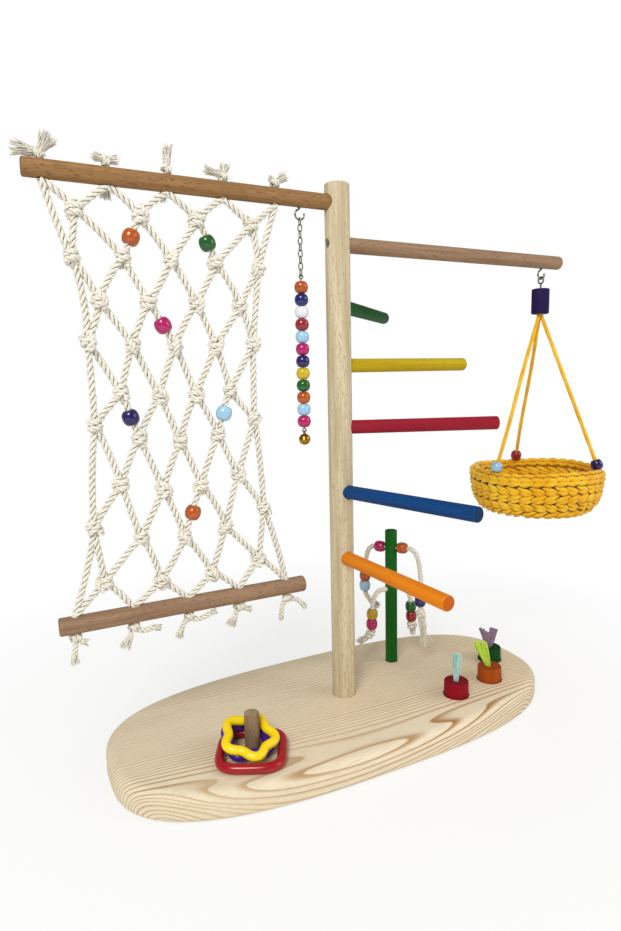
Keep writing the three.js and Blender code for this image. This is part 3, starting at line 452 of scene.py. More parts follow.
def lacquer(name, colour, deep):
    """Lacquered wood: a wet-looking clear coat over dye that lets faint grain show."""
    finish, tree = new_finish("lacquered wood " + name)
    place = object_place(tree)
    grain = noise(tree, place, (900, 900, 160), 3, 0.6)
    pool = noise(tree, place, 160, 1)
    return surfaced(finish, mix(tree, remap(tree, grain, (0.3, 0.55), (0.35, 1)), deep, colour),
                    remap(tree, pool, target=(0.14, 0.28)), relief(tree, pool, 0.12, 0.0006),
                    IOR=1.5, Coat_Weight=0.4, Coat_Roughness=0.05)


LACQUERS = {
    "orange": ("#B8540A", "#7C3204"), "green": ("#0A5C18", "#033C0A"), "magenta": ("#B40A62", "#7C0644"),
    "indigo": ("#1E0A5C", "#0E0338"), "sky": ("#A2CAE4", "#7FAFD0"), "crimson": ("#9A162C", "#64081A"),
    "yellow": ("#CFB20E", "#A08206"), "blue": ("#18186A", "#0A0A40"), "white": ("#E9E9F2", "#CBCBDC"),
    "gold": ("#BE9A12", "#8E6E06"),
}
lacquers = {name: lacquer(name, *colours) for name, colours in LACQUERS.items()}
TOY_BEAD_RADIUS, TOY_BEAD_LONG, TOY_BEAD_BORE = 5.9, 10.8, 2.95
# Each bead: its name, its rope, the CAD node that it stands for, its place, the way its bore runs, its
# lacquer and its slot.
TOY_BEADS = [
    ("toy_bead_pink_round", 0, "toy_bead_pink", (-12, 125), (-1, 0), "magenta", "bead_magenta"),
    ("toy_bead_orange_round", 1, "toy_bead_orange", (12, 125), (1, 0), "orange", "bead_orange"),
    ("toy_bead_low_orange", 0, "toy_beads_upper_left", (-28.6, 91.4), (-0.03, 1), "orange", "bead_orange"),
    ("toy_bead_low_sky", 0, "toy_beads_upper_left", (-28.9, 80.6), (-0.03, 1), "sky", "bead_sky"),
    ("toy_bead_low_crimson", 1, "toy_beads_upper_right", (31.4, 80.4), (0.03, 1), "crimson", "bead_crimson"),
    ("toy_bead_low_indigo", 1, "toy_beads_upper_right", (31.0, 69.6), (0.03, 1), "indigo", "bead_indigo"),
    ("toy_bead_low_yellow", 2, "toy_beads_lower_left", (-22.7, 55.4), (0.05, 1), "gold", "bead_yellow"),
    ("toy_bead_low_magenta", 2, "toy_beads_lower_left", (-23.3, 44.6), (0.05, 1), "magenta", "bead_magenta"),
    ("toy_bead_low_green", 3, "toy_beads_lower_right", (23.9, 56.4), (-0.05, 1), "green", "bead_green"),
    ("toy_bead_low_red", 3, "toy_beads_lower_right", (24.5, 45.6), (-0.05, 1), "crimson", "bead_crimson"),
]
for name, number, node, place, along, colour, slot in TOY_BEADS:
    rope = TOY_ROPES[number]
    way = toy_point(rope["hole"], *along) - TOY_FOOT
    made = bead(name, toy_point(rope["hole"], *place), way, TOY_BEAD_RADIUS, TOY_BEAD_LONG, TOY_BEAD_BORE,
                lacquers[colour])
    rope["ends"].append(settle(made, rope["body"], slot, node))


# ---------------- base board
# One plank of pine, 430 by 193 by 23 mm, sawn to a rounded outline, its top edge well rounded and sanded,
# left bare. The posts and the three plugs stand in holes drilled from above.
def carve(piece, *cutters):
    """Cuts cutters out of a piece."""
    for cutter in cutters:
        cut = piece.modifiers.new("cut", "BOOLEAN")
        cut.object = cutter
        cut.solver = "MANIFOLD"
    finish = piece.data.materials[0]
    made = bpy.data.meshes.new_from_object(piece.evaluated_get(bpy.context.evaluated_depsgraph_get()))
    piece.modifiers.clear()
    piece.data = made
    made.materials.clear()
    made.materials.append(finish)
    made.polygons.foreach_set("material_index", [0] * len(made.polygons))
    made.shade_smooth()
    made.set_sharp_from_angle(angle=radians(35))
    for cutter in cutters:
        bpy.data.objects.remove(cutter)
    return piece


def drill(radius, depth, at, along=(0, 0, 1), beyond=5, finish=cotton):
    """A cutter that stands on a point, goes down a depth and rises past it."""
    outline = [(0, -depth), (radius, -depth), (radius, beyond), (0, beyond)]
    return turned("drill", outline, finish, at, along, steps=40)


RING_WIDE = 0.0029


def pine_finish():
    """Bare sanded pine: pale straw earlywood, honey-brown latewood lines 3 to 6 mm apart that widen into
    long tongues where the saw ran along them, and fine fibres that lie along the plank."""
    finish, tree = new_finish("bare sanded pine")
    place = object_place(tree)
    drift = remap(tree, noise(tree, place, (5, 11, 11)), target=(-0.0016, 0.0016))
    parts = add(tree, "SeparateXYZ", {0: place})
    # The trunk's heart runs low under the plank's front edge, and comes nearer its face at both ends.
    along = maths(tree, "ADD", parts.outputs["X"], 0.02)
    sag = maths(tree, "POWER", maths(tree, "ADD", maths(tree, "POWER", along, 2), 0.0012), 0.5)
    depth = maths(tree, "ADD", parts.outputs["Z"], 0.012)
    depth = maths(tree, "MULTIPLY_ADD", sag, -0.055, depth)
    across = maths(tree, "ADD", parts.outputs["Y"], 0.076)
    across = maths(tree, "MULTIPLY_ADD", along, 0.06, across)
    flat = add(tree, "CombineXYZ", {0: across, 1: depth})
    reach = add(tree, "VectorMath", {0: flat}, operation="LENGTH").outputs["Value"]
    reach = maths(tree, "ADD", reach, drift)
    # Wide and narrow years: the distance is warped before it is cut into rings.
    years = add(tree, "TexNoise", {"W": reach, "Scale": 60, "Detail": 1}, noise_dimensions="1D")
    year = maths(tree, "MULTIPLY_ADD", reach, 1 / RING_WIDE, years)
    ring = maths(tree, "FRACT", maths(tree, "MULTIPLY_ADD", years, 1.2, year))
    rise = remap(tree, ring, (0.45, 0.93), interpolation_type="SMOOTHSTEP")
    drop = remap(tree, ring, (0.94, 1), (1, 0))
    late = maths(tree, "POWER", maths(tree, "MULTIPLY", rise, drop), 1.5)
    weight = remap(tree, noise(tree, place, (6, 30, 30), 1), (0.3, 0.7), (0.4, 1))
    late = maths(tree, "MULTIPLY", late, weight)
    fibre = noise(tree, place, (60, 1300, 1300), 3, 0.65)
    early = mix(tree, noise(tree, place, (4, 25, 25)), "#E0D0AE", "#EEE2C8")
    body = mix(tree, late, early, "#A87838")
    colour = mix(tree, remap(tree, fibre, (0.35, 0.55), (0.25, 0)), body, "#B08F66")
    height = maths(tree, "MULTIPLY_ADD", fibre, 0.4, late)
    return surfaced(finish, colour, remap(tree, late, target=(0.62, 0.45)),
                    relief(tree, height, 0.25, 0.0003), IOR=1.45, Specular_IOR_Level=0.35)


BOARD = {"long": 430, "wide": 193, "thick": 23, "power": 2.83, "top": 8, "bottom": 4}
POST_AT = Vector((6.4, 2.6, 0))
RING_PEG_AT = Vector((-106.4, -42.8, 0))
PLUG_PLACES = [Vector((98.7, -52, 0)), Vector((147.6, -43.8, 0)), Vector((179, -9.7, 0))]
SOCKET_DEEP, PLUG_WELL_DEEP, PERCH_SOCKET_DEEP, ARM_SOCKET_DEEP = 15, 9, 8, 6
POST_HOLE, ROD_HOLE, PLUG_WELL = 11.3, 6.55, 12.5
HEAD_HOLE, HEAD_HOLE_DEEP = 4.3, 4.4
board_top = up(BOARD["thick"])
shape = bmesh.new()
bmesh.ops.create_circle(shape, cap_ends=True, segments=220, radius=1)
for vert in shape.verts:
    angle = atan2(vert.co.y, vert.co.x)
    bow = 2 / BOARD["power"]
    vert.co.x = copysign(abs(cos(angle)) ** bow, cos(angle)) * BOARD["long"] / 2
    vert.co.y = copysign(abs(sin(angle)) ** bow, sin(angle)) * BOARD["wide"] / 2
raised = bmesh.ops.extrude_face_region(shape, geom=shape.faces[:])["geom"]
bmesh.ops.translate(shape, vec=board_top, verts=[v for v in raised if isinstance(v, bmesh.types.BMVert)])
for level, rounding, steps in ((BOARD["thick"], BOARD["top"], 9), (0, BOARD["bottom"], 5)):
    rim = [e for e in shape.edges if all(abs(v.co.z - level) < 0.01 for v in e.verts)]
    bmesh.ops.bevel(shape, geom=rim, offset=rounding, offset_type="OFFSET", segments=steps, profile=0.5,
                    affect="EDGES", material=-1)
plank = finished("base_plank", shape, pine_finish(), sharp=35)
carve(
    plank,
    drill(POST_HOLE, SOCKET_DEEP, POST_AT + board_top),
    drill(ROD_HOLE, SOCKET_DEEP, TOY_FOOT),
    drill(ROD_HOLE, SOCKET_DEEP, RING_PEG_AT + board_top),
    *[drill(PLUG_WELL, PLUG_WELL_DEEP, place + board_top) for place in PLUG_PLACES],
    drill(HEAD_HOLE, HEAD_HOLE_DEEP, POST_AT, (0, 0, -1)),
    drill(2.1, 20, POST_AT, (0, 0, -1)),
)
settle(plank, "stand", "pine", "base_board")


# ---------------- main post
# A 22 mm beech dowel, 483 mm long, glued upright in the board and held by a screw from below. Blind holes
# on its sides take the perches and the two arms, and two holes take the arms' screws.
def dowel_wood(name, light, dark, end, heading=None, fleck=0.75, streak=0.5, rough=0.6, worn=None):
    """Close-grained dowel wood along a heading, or upright: slow streaks along the rod, and short darker
    pores, which are drawn 0.8 mm wide so that they show. The cut ends show the pores as dots."""
    finish, tree = new_finish(name)
    coords = add(tree, "TexCoord")
    spin = (0, pi / 2, 0) if heading is None else (0, 0, -radians(heading))
    run = add(tree, "Mapping", {"Vector": coords.outputs["Object"], "Rotation": spin})
    facing = add(tree, "Mapping", {"Vector": coords.outputs["Normal"], "Rotation": spin},
                 vector_type="VECTOR")
    flecks = remap(tree, noise(tree, run, (170, 1150, 1150), 2, 0.55), (0.55, 0.68), (0, fleck))
    streaks = remap(tree, noise(tree, run, (9, 210, 210), 3, 0.6), (0.4, 0.66), (0, streak))
    both = maths(tree, "MAXIMUM", flecks, streaks)
    side = mix(tree, both, light, dark)
    if worn:
        rub = noise(tree, coords.outputs["Object"], 70, 4)
        side = mix(tree, remap(tree, rub, (0.56, 0.8), (0, 0.4)), side, worn)
    turned_to = add(tree, "SeparateXYZ", {0: facing}).outputs["X"]
    cut_end = remap(tree, maths(tree, "ABSOLUTE", turned_to), (0.6, 0.95))
    colour = mix(tree, cut_end, side, mix(tree, both, end, dark))
    return surfaced(finish, colour, remap(tree, both, target=(rough, rough + 0.15)),
                    relief(tree, both, 0.3, 0.0002, invert=True), IOR=1.45, Specular_IOR_Level=0.2)


POST_RADIUS, POST_TOP = 11, 491.5
PERCHES = [
    ("perch_green", 389, 41, "#0D5C1E", "#063C10", "#0A4616", "green_dye"),
    ("perch_yellow", 336, 3, "#C2A50C", "#967C06", "#A58A08", "yellow_dye"),
    ("perch_red", 280.5, -21, "#9C182C", "#720C1E", "#7A1022", "red_dye"),
    ("perch_blue", 221.5, -75.4, "#08427E", "#042C58", "#042E54", "blue_dye"),
    ("perch_orange", 159.5, -87.9, "#E8860E", "#C46606", "#BE5A10", "orange_dye"),
]
NET_ARM_HIGH, NEST_ARM_HIGH = 475.5, 441
beech = dowel_wood("beech dowel", "#D3C5A4", "#967C56", "#BCA680")
post = turned("main_post_dowel", eased(POST_RADIUS, 8.3, POST_TOP, 1.2), beech, POST_AT, steps=72)


def side_drill(radius, depth, height, degrees):
    """A cutter for a blind hole in the post's side."""
    return drill(radius, depth, POST_AT + heading_of(degrees) * POST_RADIUS + up(height),
                 heading_of(degrees))


carve(
    post,
    *[side_drill(ROD_HOLE, PERCH_SOCKET_DEEP, perch[1], perch[2]) for perch in PERCHES],
    side_drill(7.0, ARM_SOCKET_DEEP, NET_ARM_HIGH, 180),
    side_drill(7.1, ARM_SOCKET_DEEP, NEST_ARM_HIGH, 0),
    side_drill(HEAD_HOLE, HEAD_HOLE_DEEP, NET_ARM_HIGH, 0),
    side_drill(HEAD_HOLE, HEAD_HOLE_DEEP, NEST_ARM_HIGH, 180),
)
settle(post, "stand", "beech", "main_post")


# ---------------- screws
# Three zinc-plated countersunk screws with crossed slots: one through the post into each arm, and one up
# through the board into the post. Their heads lie a little below the wood.
def metal(name, colour, rough, pale="#E4E2DC"):
    """Plated or bare metal: sharp reflections, slightly broken by fine drawing marks."""
    finish, tree = new_finish(name)
    marks = noise(tree, object_place(tree), 900)
    dull = remap(tree, marks, target=(rough * 0.6, rough * 1.5))
    return surfaced(finish, mix(tree, marks, colour, pale), dull, relief(tree, marks, 0.1, 0.0001),
                    Metallic=1)


zinc = metal("zinc-plated steel", "#A9A9A4", 0.32)


def slot_cutter(size, placing, degrees, finish):
    """A cutter for a slot: a block of a size, turned about its own upright, then placed."""
    shape = bmesh.new()
    bmesh.ops.create_cube(shape, size=1)
    bmesh.ops.scale(shape, vec=size, verts=shape.verts)
    bmesh.ops.transform(shape, matrix=placing @ Matrix.Rotation(radians(degrees), 4, "Z"), verts=shape.verts)
    return finished("drill", shape, finish)


def screw(name, face, along, length):
    """A countersunk screw whose head's face lies at a point, with its tip behind it."""
    outline = [(0, -length), (1.8, 4 - length), (1.8, -2.6), (3.85, -0.35), (4, -0.1), (3.9, 0), (0, 0)]
    piece = turned(name + "_cut", outline, zinc, face, along, steps=32)
    for degrees in (45, 135):
        carve(piece, slot_cutter((3.6, 0.9, 2.4), stood(face, along), degrees, zinc))
    settle(piece, "stand", "steel", name)


ARM_SCREW_LONG, FOOT_SCREW_LONG = 34.5, 26.5
HEAD_SINK = 1.5
for name, height, side in (("net_arm_screw", NET_ARM_HIGH, 1), ("nest_arm_screw", NEST_ARM_HIGH, -1)):
    face = POST_AT + Vector((side * (POST_RADIUS - HEAD_SINK), 0, height))
    screw(name, face, (side, 0, 0), ARM_SCREW_LONG)
screw("post_foot_screw", POST_AT + up(HEAD_SINK), (0, 0, -1), FOOT_SCREW_LONG)

# ---------------- perches
# Five 12.5 mm beech dowels, glued in the post and dyed in a bath, so that the grain shows through the
# colour and the cut ends, which drink more dye, are darker.
PERCH_RADIUS, PERCH_FROM, PERCH_TO = 6.25, 3.3, 149
for name, height, degrees, light, dark, end, slot in PERCHES:
    dyed = dowel_wood("dyed beech " + name, light, dark, end, degrees, fleck=0.55, streak=0.5, rough=0.5)
    rod = turned(name + "_dowel", eased(PERCH_RADIUS, PERCH_FROM, PERCH_TO, 1.5), dyed,
                 POST_AT + up(height), heading_of(degrees), steps=48)
    settle(rod, "stand", slot, name)

# ---------------- toy post and ring peg
# The toy post is a dyed green dowel with two crossing holes for its ropes, and the ring peg a short brown
# one. Both are 12.5 mm dowels glued in the board, with lightly eased tops.
green_wood = dowel_wood("dyed beech toy post", "#0C5E12", "#064208", "#084A0C", fleck=0.5, streak=0.4,
                        rough=0.5)
toy_post = turned("toy_post_dowel", eased(TOY_POST_RADIUS, -14.7, 143.5, 1), green_wood, TOY_FOOT)
carve(toy_post, *[drill(3.05, 12, toy_point(hole, 0, height), heading_of(hole), 12)
                  for hole, height in ((UPPER, 125), (LOWER, 80))])
settle(toy_post, "stand", "green_dye", "toy_post")
peg_wood = dowel_wood("brown hardwood peg", "#8F775B", "#5E4830", "#A58C6C")
peg = turned("ring_peg_dowel", eased(PERCH_RADIUS, -14.7, 32.5, 0.8), peg_wood, RING_PEG_AT + board_top)
settle(peg, "stand", "brown_wood", "ring_peg")

# ---------------- net arm
# A 13.4 mm reddish-brown beech dowel, glued and screwed in the left side of the post, with five holes
# drilled down through it, 45 mm apart, for the net's cords.
NET_HOLES = [-52.1, -97.1, -142.1, -187.1, -232.1]
NET_ARM_RADIUS = 6.7
arm_centre = Vector((0, POST_AT.y, NET_ARM_HIGH))
arm_wood = dowel_wood("red-brown beech dowel", "#9C754A", "#5C3C20", "#94683C", 0)
net_arm = turned("net_arm_dowel", eased(NET_ARM_RADIUS, 5.3, 251, 1.5), arm_wood,
                 POST_AT + up(NET_ARM_HIGH), (-1, 0, 0), steps=56)
CORD_HOLE = 2.9
carve(net_arm, *[drill(CORD_HOLE, 12, arm_centre + Vector((x, 0, 0)), beyond=12) for x in NET_HOLES])
settle(net_arm, "stand", "arm_wood", "net_arm")

# ---------------- knots on top of the net arm
# Each cord of the net comes up through the arm, is knotted on top of it so that it can't slip back, and is
# cut off above the knot, where its yarns have come apart into a bushy tuft.
NET_ROPE = 5.7
# Each knot's tufts, from the post outwards: where one starts from the knot, its run, spread and yarns.
TOP_TUFTS = [
    [((0, 0, 1), (10, 0, 6), 5, 60), ((0, 0, 1), (-6, 0, 3), 3, 30)],
    [((0, 0, 1), (-15, 1, 3), 4, 55), ((0, 0, 1), (2, 0, 9), 5, 60)],
    [((0, 0, 1), (1, -1, 17), 4.5, 80), ((0, 6, -8), (-2, 3, -14), 3, 40)],
    [((0, 0, 1), (-9, 2, 4), 4, 50), ((0, 0, 1), (10, 2, 2), 4, 40), ((1, 6.5, -8), (0, 8, -14), 5, 80)],
    [((0, 0, 1), (-18, -2, 1), 6, 100), ((0, 0, 1), (8, 0, 12), 7, 110)],
]
for number, (x, tufts) in enumerate(zip(NET_HOLES, TOP_TUFTS), start=1):
    centre = arm_centre + Vector((x, 0, NET_ARM_RADIUS + 3.2))
    lines = knot_lines(centre, Vector((1, 0.3, 0.4 * sin(number))), 3.4, number)
    lines += rope_lines([arm_centre + Vector((x, 0, -5)), arm_centre + Vector((x, 0, 4)), centre], 4.6)
    knot = swept(f"net_knot_{number}_laid", lines, 0.85, cotton)
    settle(knot, "stand", "rope", f"net_knot_{number}")
    yarns = []
    for k, (start, run, spread, count) in enumerate(tufts):
        yarns += fray_lines(centre + Vector(start), Vector(run), 2.0, spread, count, 10 * number + k)
    tuft = swept(f"net_knot_{number}_frayed", yarns, YARN, cotton, 0, taper=lambda t: 1.25 - 0.75 * t)
    settle(tuft, "stand", "rope")

# ---------------- climbing net
# Five ropes of white cotton, 5.5 mm thick, hang from the arm and are knotted to each other in nine rows
# into diamonds, with a rope down each side. The last row enters the bar, and is knotted under it.
NET_MIDDLE = -142.1
NET_ROWS = [(25.5, 68, 0), (56.5, 73, -3), (89.5, 56, 0), (122.5, 66, 3), (161.5, 44, 3), (198.5, 65, 16),
            (237.5, 48, 8), (277.5, 71, 16), (312.5, 65, 7)]
NET_DROP, BAR_RADIUS = 335.5, 7.1


def net_row(index, below, half, lift):
    """A row's knots, from the arm's tip towards the post: four or five of them, its ends lifted."""
    count = 4 if index % 2 == 0 else 5
    spread = [2 * i / (count - 1) - 1 for i in range(count)]
    return [arm_centre + Vector((NET_MIDDLE + half * s, 0, lift * s * s - below)) for s in spread]


holes = sorted(NET_HOLES)
net_rows = [[arm_centre + Vector((x, 0, -0.4 - NET_ARM_RADIUS)) for x in holes]]
net_rows += [net_row(i, *row) for i, row in enumerate(NET_ROWS)]
net_rows += [[arm_centre + Vector((x, 0, 5.5 - NET_DROP)) for x in holes]]
draw = random.Random(7)
cord_lines = []


def net_cord(a, b, bow=1.6):
    """A rope between two knots that bows a little to one side."""
    across = (b - a).orthogonal().normalized()
    spin = Matrix.Rotation(draw.uniform(0, 2 * pi), 3, (b - a).normalized())
    aside = spin @ across * draw.uniform(0.2, bow)
    aside.z += 1.3
    points = [a, a.lerp(b, 0.3) + aside, a.lerp(b, 0.7) + aside, b]
    cord_lines.extend(rope_lines(points, NET_ROPE, start=draw.uniform(0, 6)))


for upper, lower in zip(net_rows, net_rows[1:]):
    few, many = (lower, upper) if len(lower) < len(upper) else (upper, lower)
    for i, point in enumerate(few):
        for other in many[i:i + 2]:
            net_cord(*(point, other) if few is upper else (other, point))
side_rows = [row for row in net_rows if len(row) == 5]
for upper, lower in zip(side_rows, side_rows[1:]):
    for end in (0, -1):
        net_cord(upper[end], lower[end], 2.5)
for x in holes:
    cord_lines += rope_lines([arm_centre + Vector((x, 0, z - NET_DROP)) for z in (6, 0, -BAR_RADIUS - 3)], 5)
settle(swept("net_cords_laid", cord_lines, NET_ROPE * 0.22, cotton), "net", "rope", "climbing_net")

knots = []
for row_number, row in enumerate(net_rows[1:-1]):
    for i, point in enumerate(row):
        lean = Vector((draw.uniform(-0.5, 0.5), draw.uniform(-0.4, 0.4), 1))
        knots += knot_lines(point, lean, 5.7, 100 + 10 * row_number + i)
settle(swept("net_knots_laid", knots, 1.3, cotton), "net", "rope", "climbing_net")

# Under the bar, from its tip towards the post: each cord's stubs of rope, then where each tuft starts, its
# run, its spread and its number of yarns.
TAILS = [
    ([[(0, 0, 0), (-1, -1, -7), (-2, -2, -13)]],
     [((-2, -2, -12), (0, 0, -9), 3.5, 50), ((3, -2, -3), (6, -1, -2), 3, 30)]),
    ([[(0, 0, -2), (7, -2, -4), (15, -2, -3)]],
     [((-3, -1, -4), (-7, -2, -12), 5.5, 90), ((15, -2, -3), (6, 0, -2), 3.5, 45)]),
    ([[(2, 0, -3), (10, -2, -3), (19, -2, 0)], [(-3, 0, -3), (-5, -1, -5), (-7, -2, -8)]],
     [((-7, -2, -8), (-4, -1, -8), 4, 55), ((19, -2, 0), (5, 0, 1), 2.8, 35)]),
    ([[(-2, 0, -3), (-4, -1, -5), (-5, -2, -7)]],
     [((-5, -2, -6), (-5, -1, -9), 5.5, 80), ((4, -1, -2), (7, -1, -2), 3.5, 40)]),
    ([[(-1, 0, -2), (-5, -1, -8), (-6, -1, -15)], [(2, 0, -2), (9, -1, -3), (16, -1, -9)]],
     [((-6, -1, -15), (0, 0, -5), 2.8, 35), ((16, -1, -9), (3, 0, -4), 2.8, 35)]),
]
tails, yarns = [], []
for number, (x, (stubs, tufts)) in enumerate(zip(holes, TAILS)):
    centre = arm_centre + Vector((x, 0, -NET_DROP - BAR_RADIUS - 3.4))
    tails += knot_lines(centre, Vector((1, 0.1, 0.5 * sin(number))), 3.8, 200 + number)
    for stub in stubs:
        tails += rope_lines([centre + Vector(p) for p in stub], 4.8, 11)
    for k, (start, run, spread, count) in enumerate(tufts):
        yarns += fray_lines(centre + Vector(start), Vector(run), 2.1, spread, count, 210 + 10 * number + k)
settle(swept("net_foot_knots_laid", tails, 1.05, cotton), "net", "rope", "climbing_net")
foot_frays = swept("net_foot_frayed", yarns, YARN, cotton, 0, taper=lambda t: 1.25 - 0.75 * t)
settle(foot_frays, "net", "rope", "climbing_net")

# ---------------- net bar and net beads
# The bar is a 14 mm brown dowel that weighs the net down, bored for its five cords. Six lacquered beads,
# 13 mm across, are threaded on cords of the net, where they stay between two knots.
BAR_FROM, BAR_TO = (corner.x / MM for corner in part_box("net_bar"))
bar_wood = dowel_wood("brown beech dowel", "#9C7D62", "#684A34", "#94745A", 0)
bar_height = NET_ARM_HIGH - NET_DROP
net_bar = turned("net_bar_dowel", eased(BAR_RADIUS, BAR_FROM, BAR_TO, 1.2), bar_wood,
                 (0, POST_AT.y, bar_height), (1, 0, 0), steps=48)
carve(net_bar, *[drill(CORD_HOLE, 12, (x, POST_AT.y, bar_height), beyond=12) for x in holes])
settle(net_bar, "net", "brown_wood", "net_bar")
# Each bead: its row of cords, the knots above and below it in their rows, its lacquer and its slot.
NET_BEADS = [
    ("net_bead_orange_top", 0, 1, 1, "orange", "bead_orange"),
    ("net_bead_green", 0, 2, 3, "green", "bead_green"),
    ("net_bead_pink", 2, 1, 2, "magenta", "bead_magenta"),
    ("net_bead_indigo", 4, 0, 1, "indigo", "bead_indigo"),
    ("net_bead_sky", 4, 3, 3, "sky", "bead_sky"),
    ("net_bead_orange_low", 6, 2, 2, "orange", "bead_orange"),
]
NET_BEAD_RADIUS, NET_BEAD_LONG, NET_BEAD_BORE = 6.6, 11.8, 2.8
for name, row, a, b, colour, slot in NET_BEADS:
    upper, lower = net_rows[row + 1][a], net_rows[row + 2][b]
    made = bead(name + "_round", upper.lerp(lower, 0.52), upper - lower, NET_BEAD_RADIUS, NET_BEAD_LONG,
                NET_BEAD_BORE, lacquers[colour], full=1.05)
    settle(made, "net", slot, name)

# ---------------- bead strand
# An open nickel hook is screwed into the net arm. A light steel chain hangs in it, then a wire with an eye
# at each end and twelve bright lacquered beads, and a brass jingle bell hangs below.
nickel = metal("nickel-plated wire", "#77746E", 0.2, pale="#A9A6A0")


def wire_ring(centre, radius, upright):
    """A round eye of wire that stands in the XZ plane, or in the YZ plane."""
    steps = [2 * pi * i / 28 for i in range(28)]
    if upright == "XZ":
        return [centre + Vector((radius * cos(a), 0, radius * sin(a))) for a in steps]
    return [centre + Vector((0, radius * cos(a), radius * sin(a))) for a in steps]


def open_hook(name, under, wire, loop, drop):
    """A screw hook under an arm: its shank stands in the wood, and its loop hangs below and stays open."""
    points = [under + up(z) for z in (7, 3, 0)]
    for degrees in range(105, 386, 20):
        angle = radians(degrees)
        points.append(under + Vector((loop * cos(angle), 0, loop * sin(angle) - drop)))
    line = through(points, 0.7)
    hook = swept(name + "_bent", [line], wire, nickel, 4, taper=lambda t: min(1.0, 0.55 + (1 - t) * 12))
    outline = [(wire + 0.1, 0.1), (wire + 0.9, -0.1), (wire + 0.9, -0.7), (wire + 0.1, -0.9)]
    collar = turned(name + "_collar", outline, nickel, under, steps=24)
    settle(collar, "stand", "nickel")
    settle(hook, "stand", "nickel", name)


STRAND_AT = Vector((-30, POST_AT.y, 0))
open_hook("bead_hook", STRAND_AT + up(NET_ARM_HIGH - NET_ARM_RADIUS), 0.8, 4.2, 6)
LINK_FIRST, LINK_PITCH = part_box("bead_chain")[1].z / MM - 3.64, 5.23
links = []
for i in range(9):
    middle = STRAND_AT + up(LINK_FIRST - i * LINK_PITCH)
    link = []
    for k in range(24):
        angle = 2 * pi * k / 24
        wide, tall = 1.7 * cos(angle), 1.95 * sin(angle)
        tall += copysign(1.14, sin(angle)) if abs(sin(angle)) > 0.05 else 0
        link.append(middle + (Vector((0, wide, tall)) if i % 2 == 0 else Vector((wide, 0, tall))))
    links.append(link)
settle(swept("bead_chain_links", links, 0.55, nickel, 2, closed=True), "chain", "nickel", "bead_chain")

wire_low, wire_high = (corner.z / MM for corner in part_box("strand_wire"))
EYE, EYE_WIRE = 1.7, 0.6
eye_high, eye_low = wire_high - EYE - EYE_WIRE, wire_low + EYE + EYE_WIRE
eyes = [wire_ring(STRAND_AT + up(z), EYE, "XZ") for z in (eye_high, eye_low)]
settle(swept("strand_eyes", eyes, EYE_WIRE, nickel, 3, closed=True), "strand", "nickel", "strand_wire")
shaft = [STRAND_AT + up(z) for z in (eye_high - EYE, (eye_high + eye_low) / 2, eye_low + EYE)]
settle(swept("strand_shaft", [shaft], EYE_WIRE, nickel, 3), "strand", "nickel", "strand_wire")
STRAND_COLOURS = ["orange", "blue", "white", "crimson", "sky", "magenta", "indigo", "yellow", "green",
                  "orange", "sky", "magenta"]
STRAND_BEAD_RADIUS, STRAND_BEAD_BORE, BEAD_GAP = 5.9, 0.95, 0.1
bead_low, bead_high = (corner.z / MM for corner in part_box("strand_beads"))
strand_pitch = (bead_high - bead_low) / len(STRAND_COLOURS)
for i, colour in enumerate(STRAND_COLOURS):
    place = STRAND_AT + up(bead_high - (i + 0.5) * strand_pitch)
    made = bead(f"strand_bead_{i + 1:02d}_{colour}", place, (0, 0, 1), STRAND_BEAD_RADIUS,
                strand_pitch - BEAD_GAP, STRAND_BEAD_BORE, lacquers[colour], full=0.8)
    settle(made, "strand", "strand_paint", "strand_beads")

brass = metal("polished brass", "#8E6412", 0.24, pale="#C89A34")
BELL_RADIUS, BELL_WALL, BELL_RIDGE = 5, 0.6, 0.35
bell_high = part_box("bell")[1].z / MM
BELL_LOOP, BELL_WIRE = 1.5, 0.5
bell_loop = bell_high - BELL_LOOP - BELL_WIRE
bell_centre = STRAND_AT + up(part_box("bell")[0].z / MM + BELL_RADIUS)
hollow = turned("drill", ball_outline(BELL_RADIUS - BELL_WALL, 10), brass, bell_centre, steps=32)
bell = turned("bell_shell", ball_outline(BELL_RADIUS, 6, BELL_RIDGE), brass, bell_centre, steps=40, sharp=25)
slits_at = Matrix.Translation(bell_centre - up(4.4))
carve(bell, hollow, *[slot_cutter((8.4, 0.9, 5), slits_at, degrees, brass) for degrees in (0, 90)])
settle(bell, "jingle_bell", "bell_brass", "bell")
pea = turned("bell_ball", ball_outline(1.5, 15), zinc, bell_centre + Vector((1.0, 0, -2.6)), steps=20)
settle(pea, "jingle_bell", "bell_brass")
ring = wire_ring(STRAND_AT + up(bell_loop), BELL_LOOP, "YZ")
settle(swept("bell_loop", [ring], BELL_WIRE, brass, 3, closed=True), "jingle_bell", "bell_brass", "bell")

# ---------------- nest arm, its hook and block
# A 13.6 mm brown beech dowel on the right side of the post carries a nickel screw hook near its tip. The
# nest's screw eye hangs in it, and is turned into a block of dyed hardwood, 18 mm across, eased at its ends.
NEST_ARM_RADIUS = 6.8
nest_wood = dowel_wood("brown beech nest arm", "#9E8064", "#6A4C36", "#94765A", 0)
nest_arm = turned("nest_arm_dowel", eased(NEST_ARM_RADIUS, 5.3, 270, 1.5), nest_wood,
                  POST_AT + up(NEST_ARM_HIGH), (1, 0, 0), steps=56)
settle(nest_arm, "stand", "arm_wood", "nest_arm")
NEST_AT = Vector((251.6, POST_AT.y, 0))
open_hook("nest_hook", NEST_AT + up(NEST_ARM_HIGH - NEST_ARM_RADIUS), 1, 4.4, 6.2)
eye_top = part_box("nest_eye")[1].z / MM
NEST_EYE, NEST_WIRE = 3.4, 0.9
eye_middle = NEST_AT + up(eye_top - NEST_EYE - NEST_WIRE)
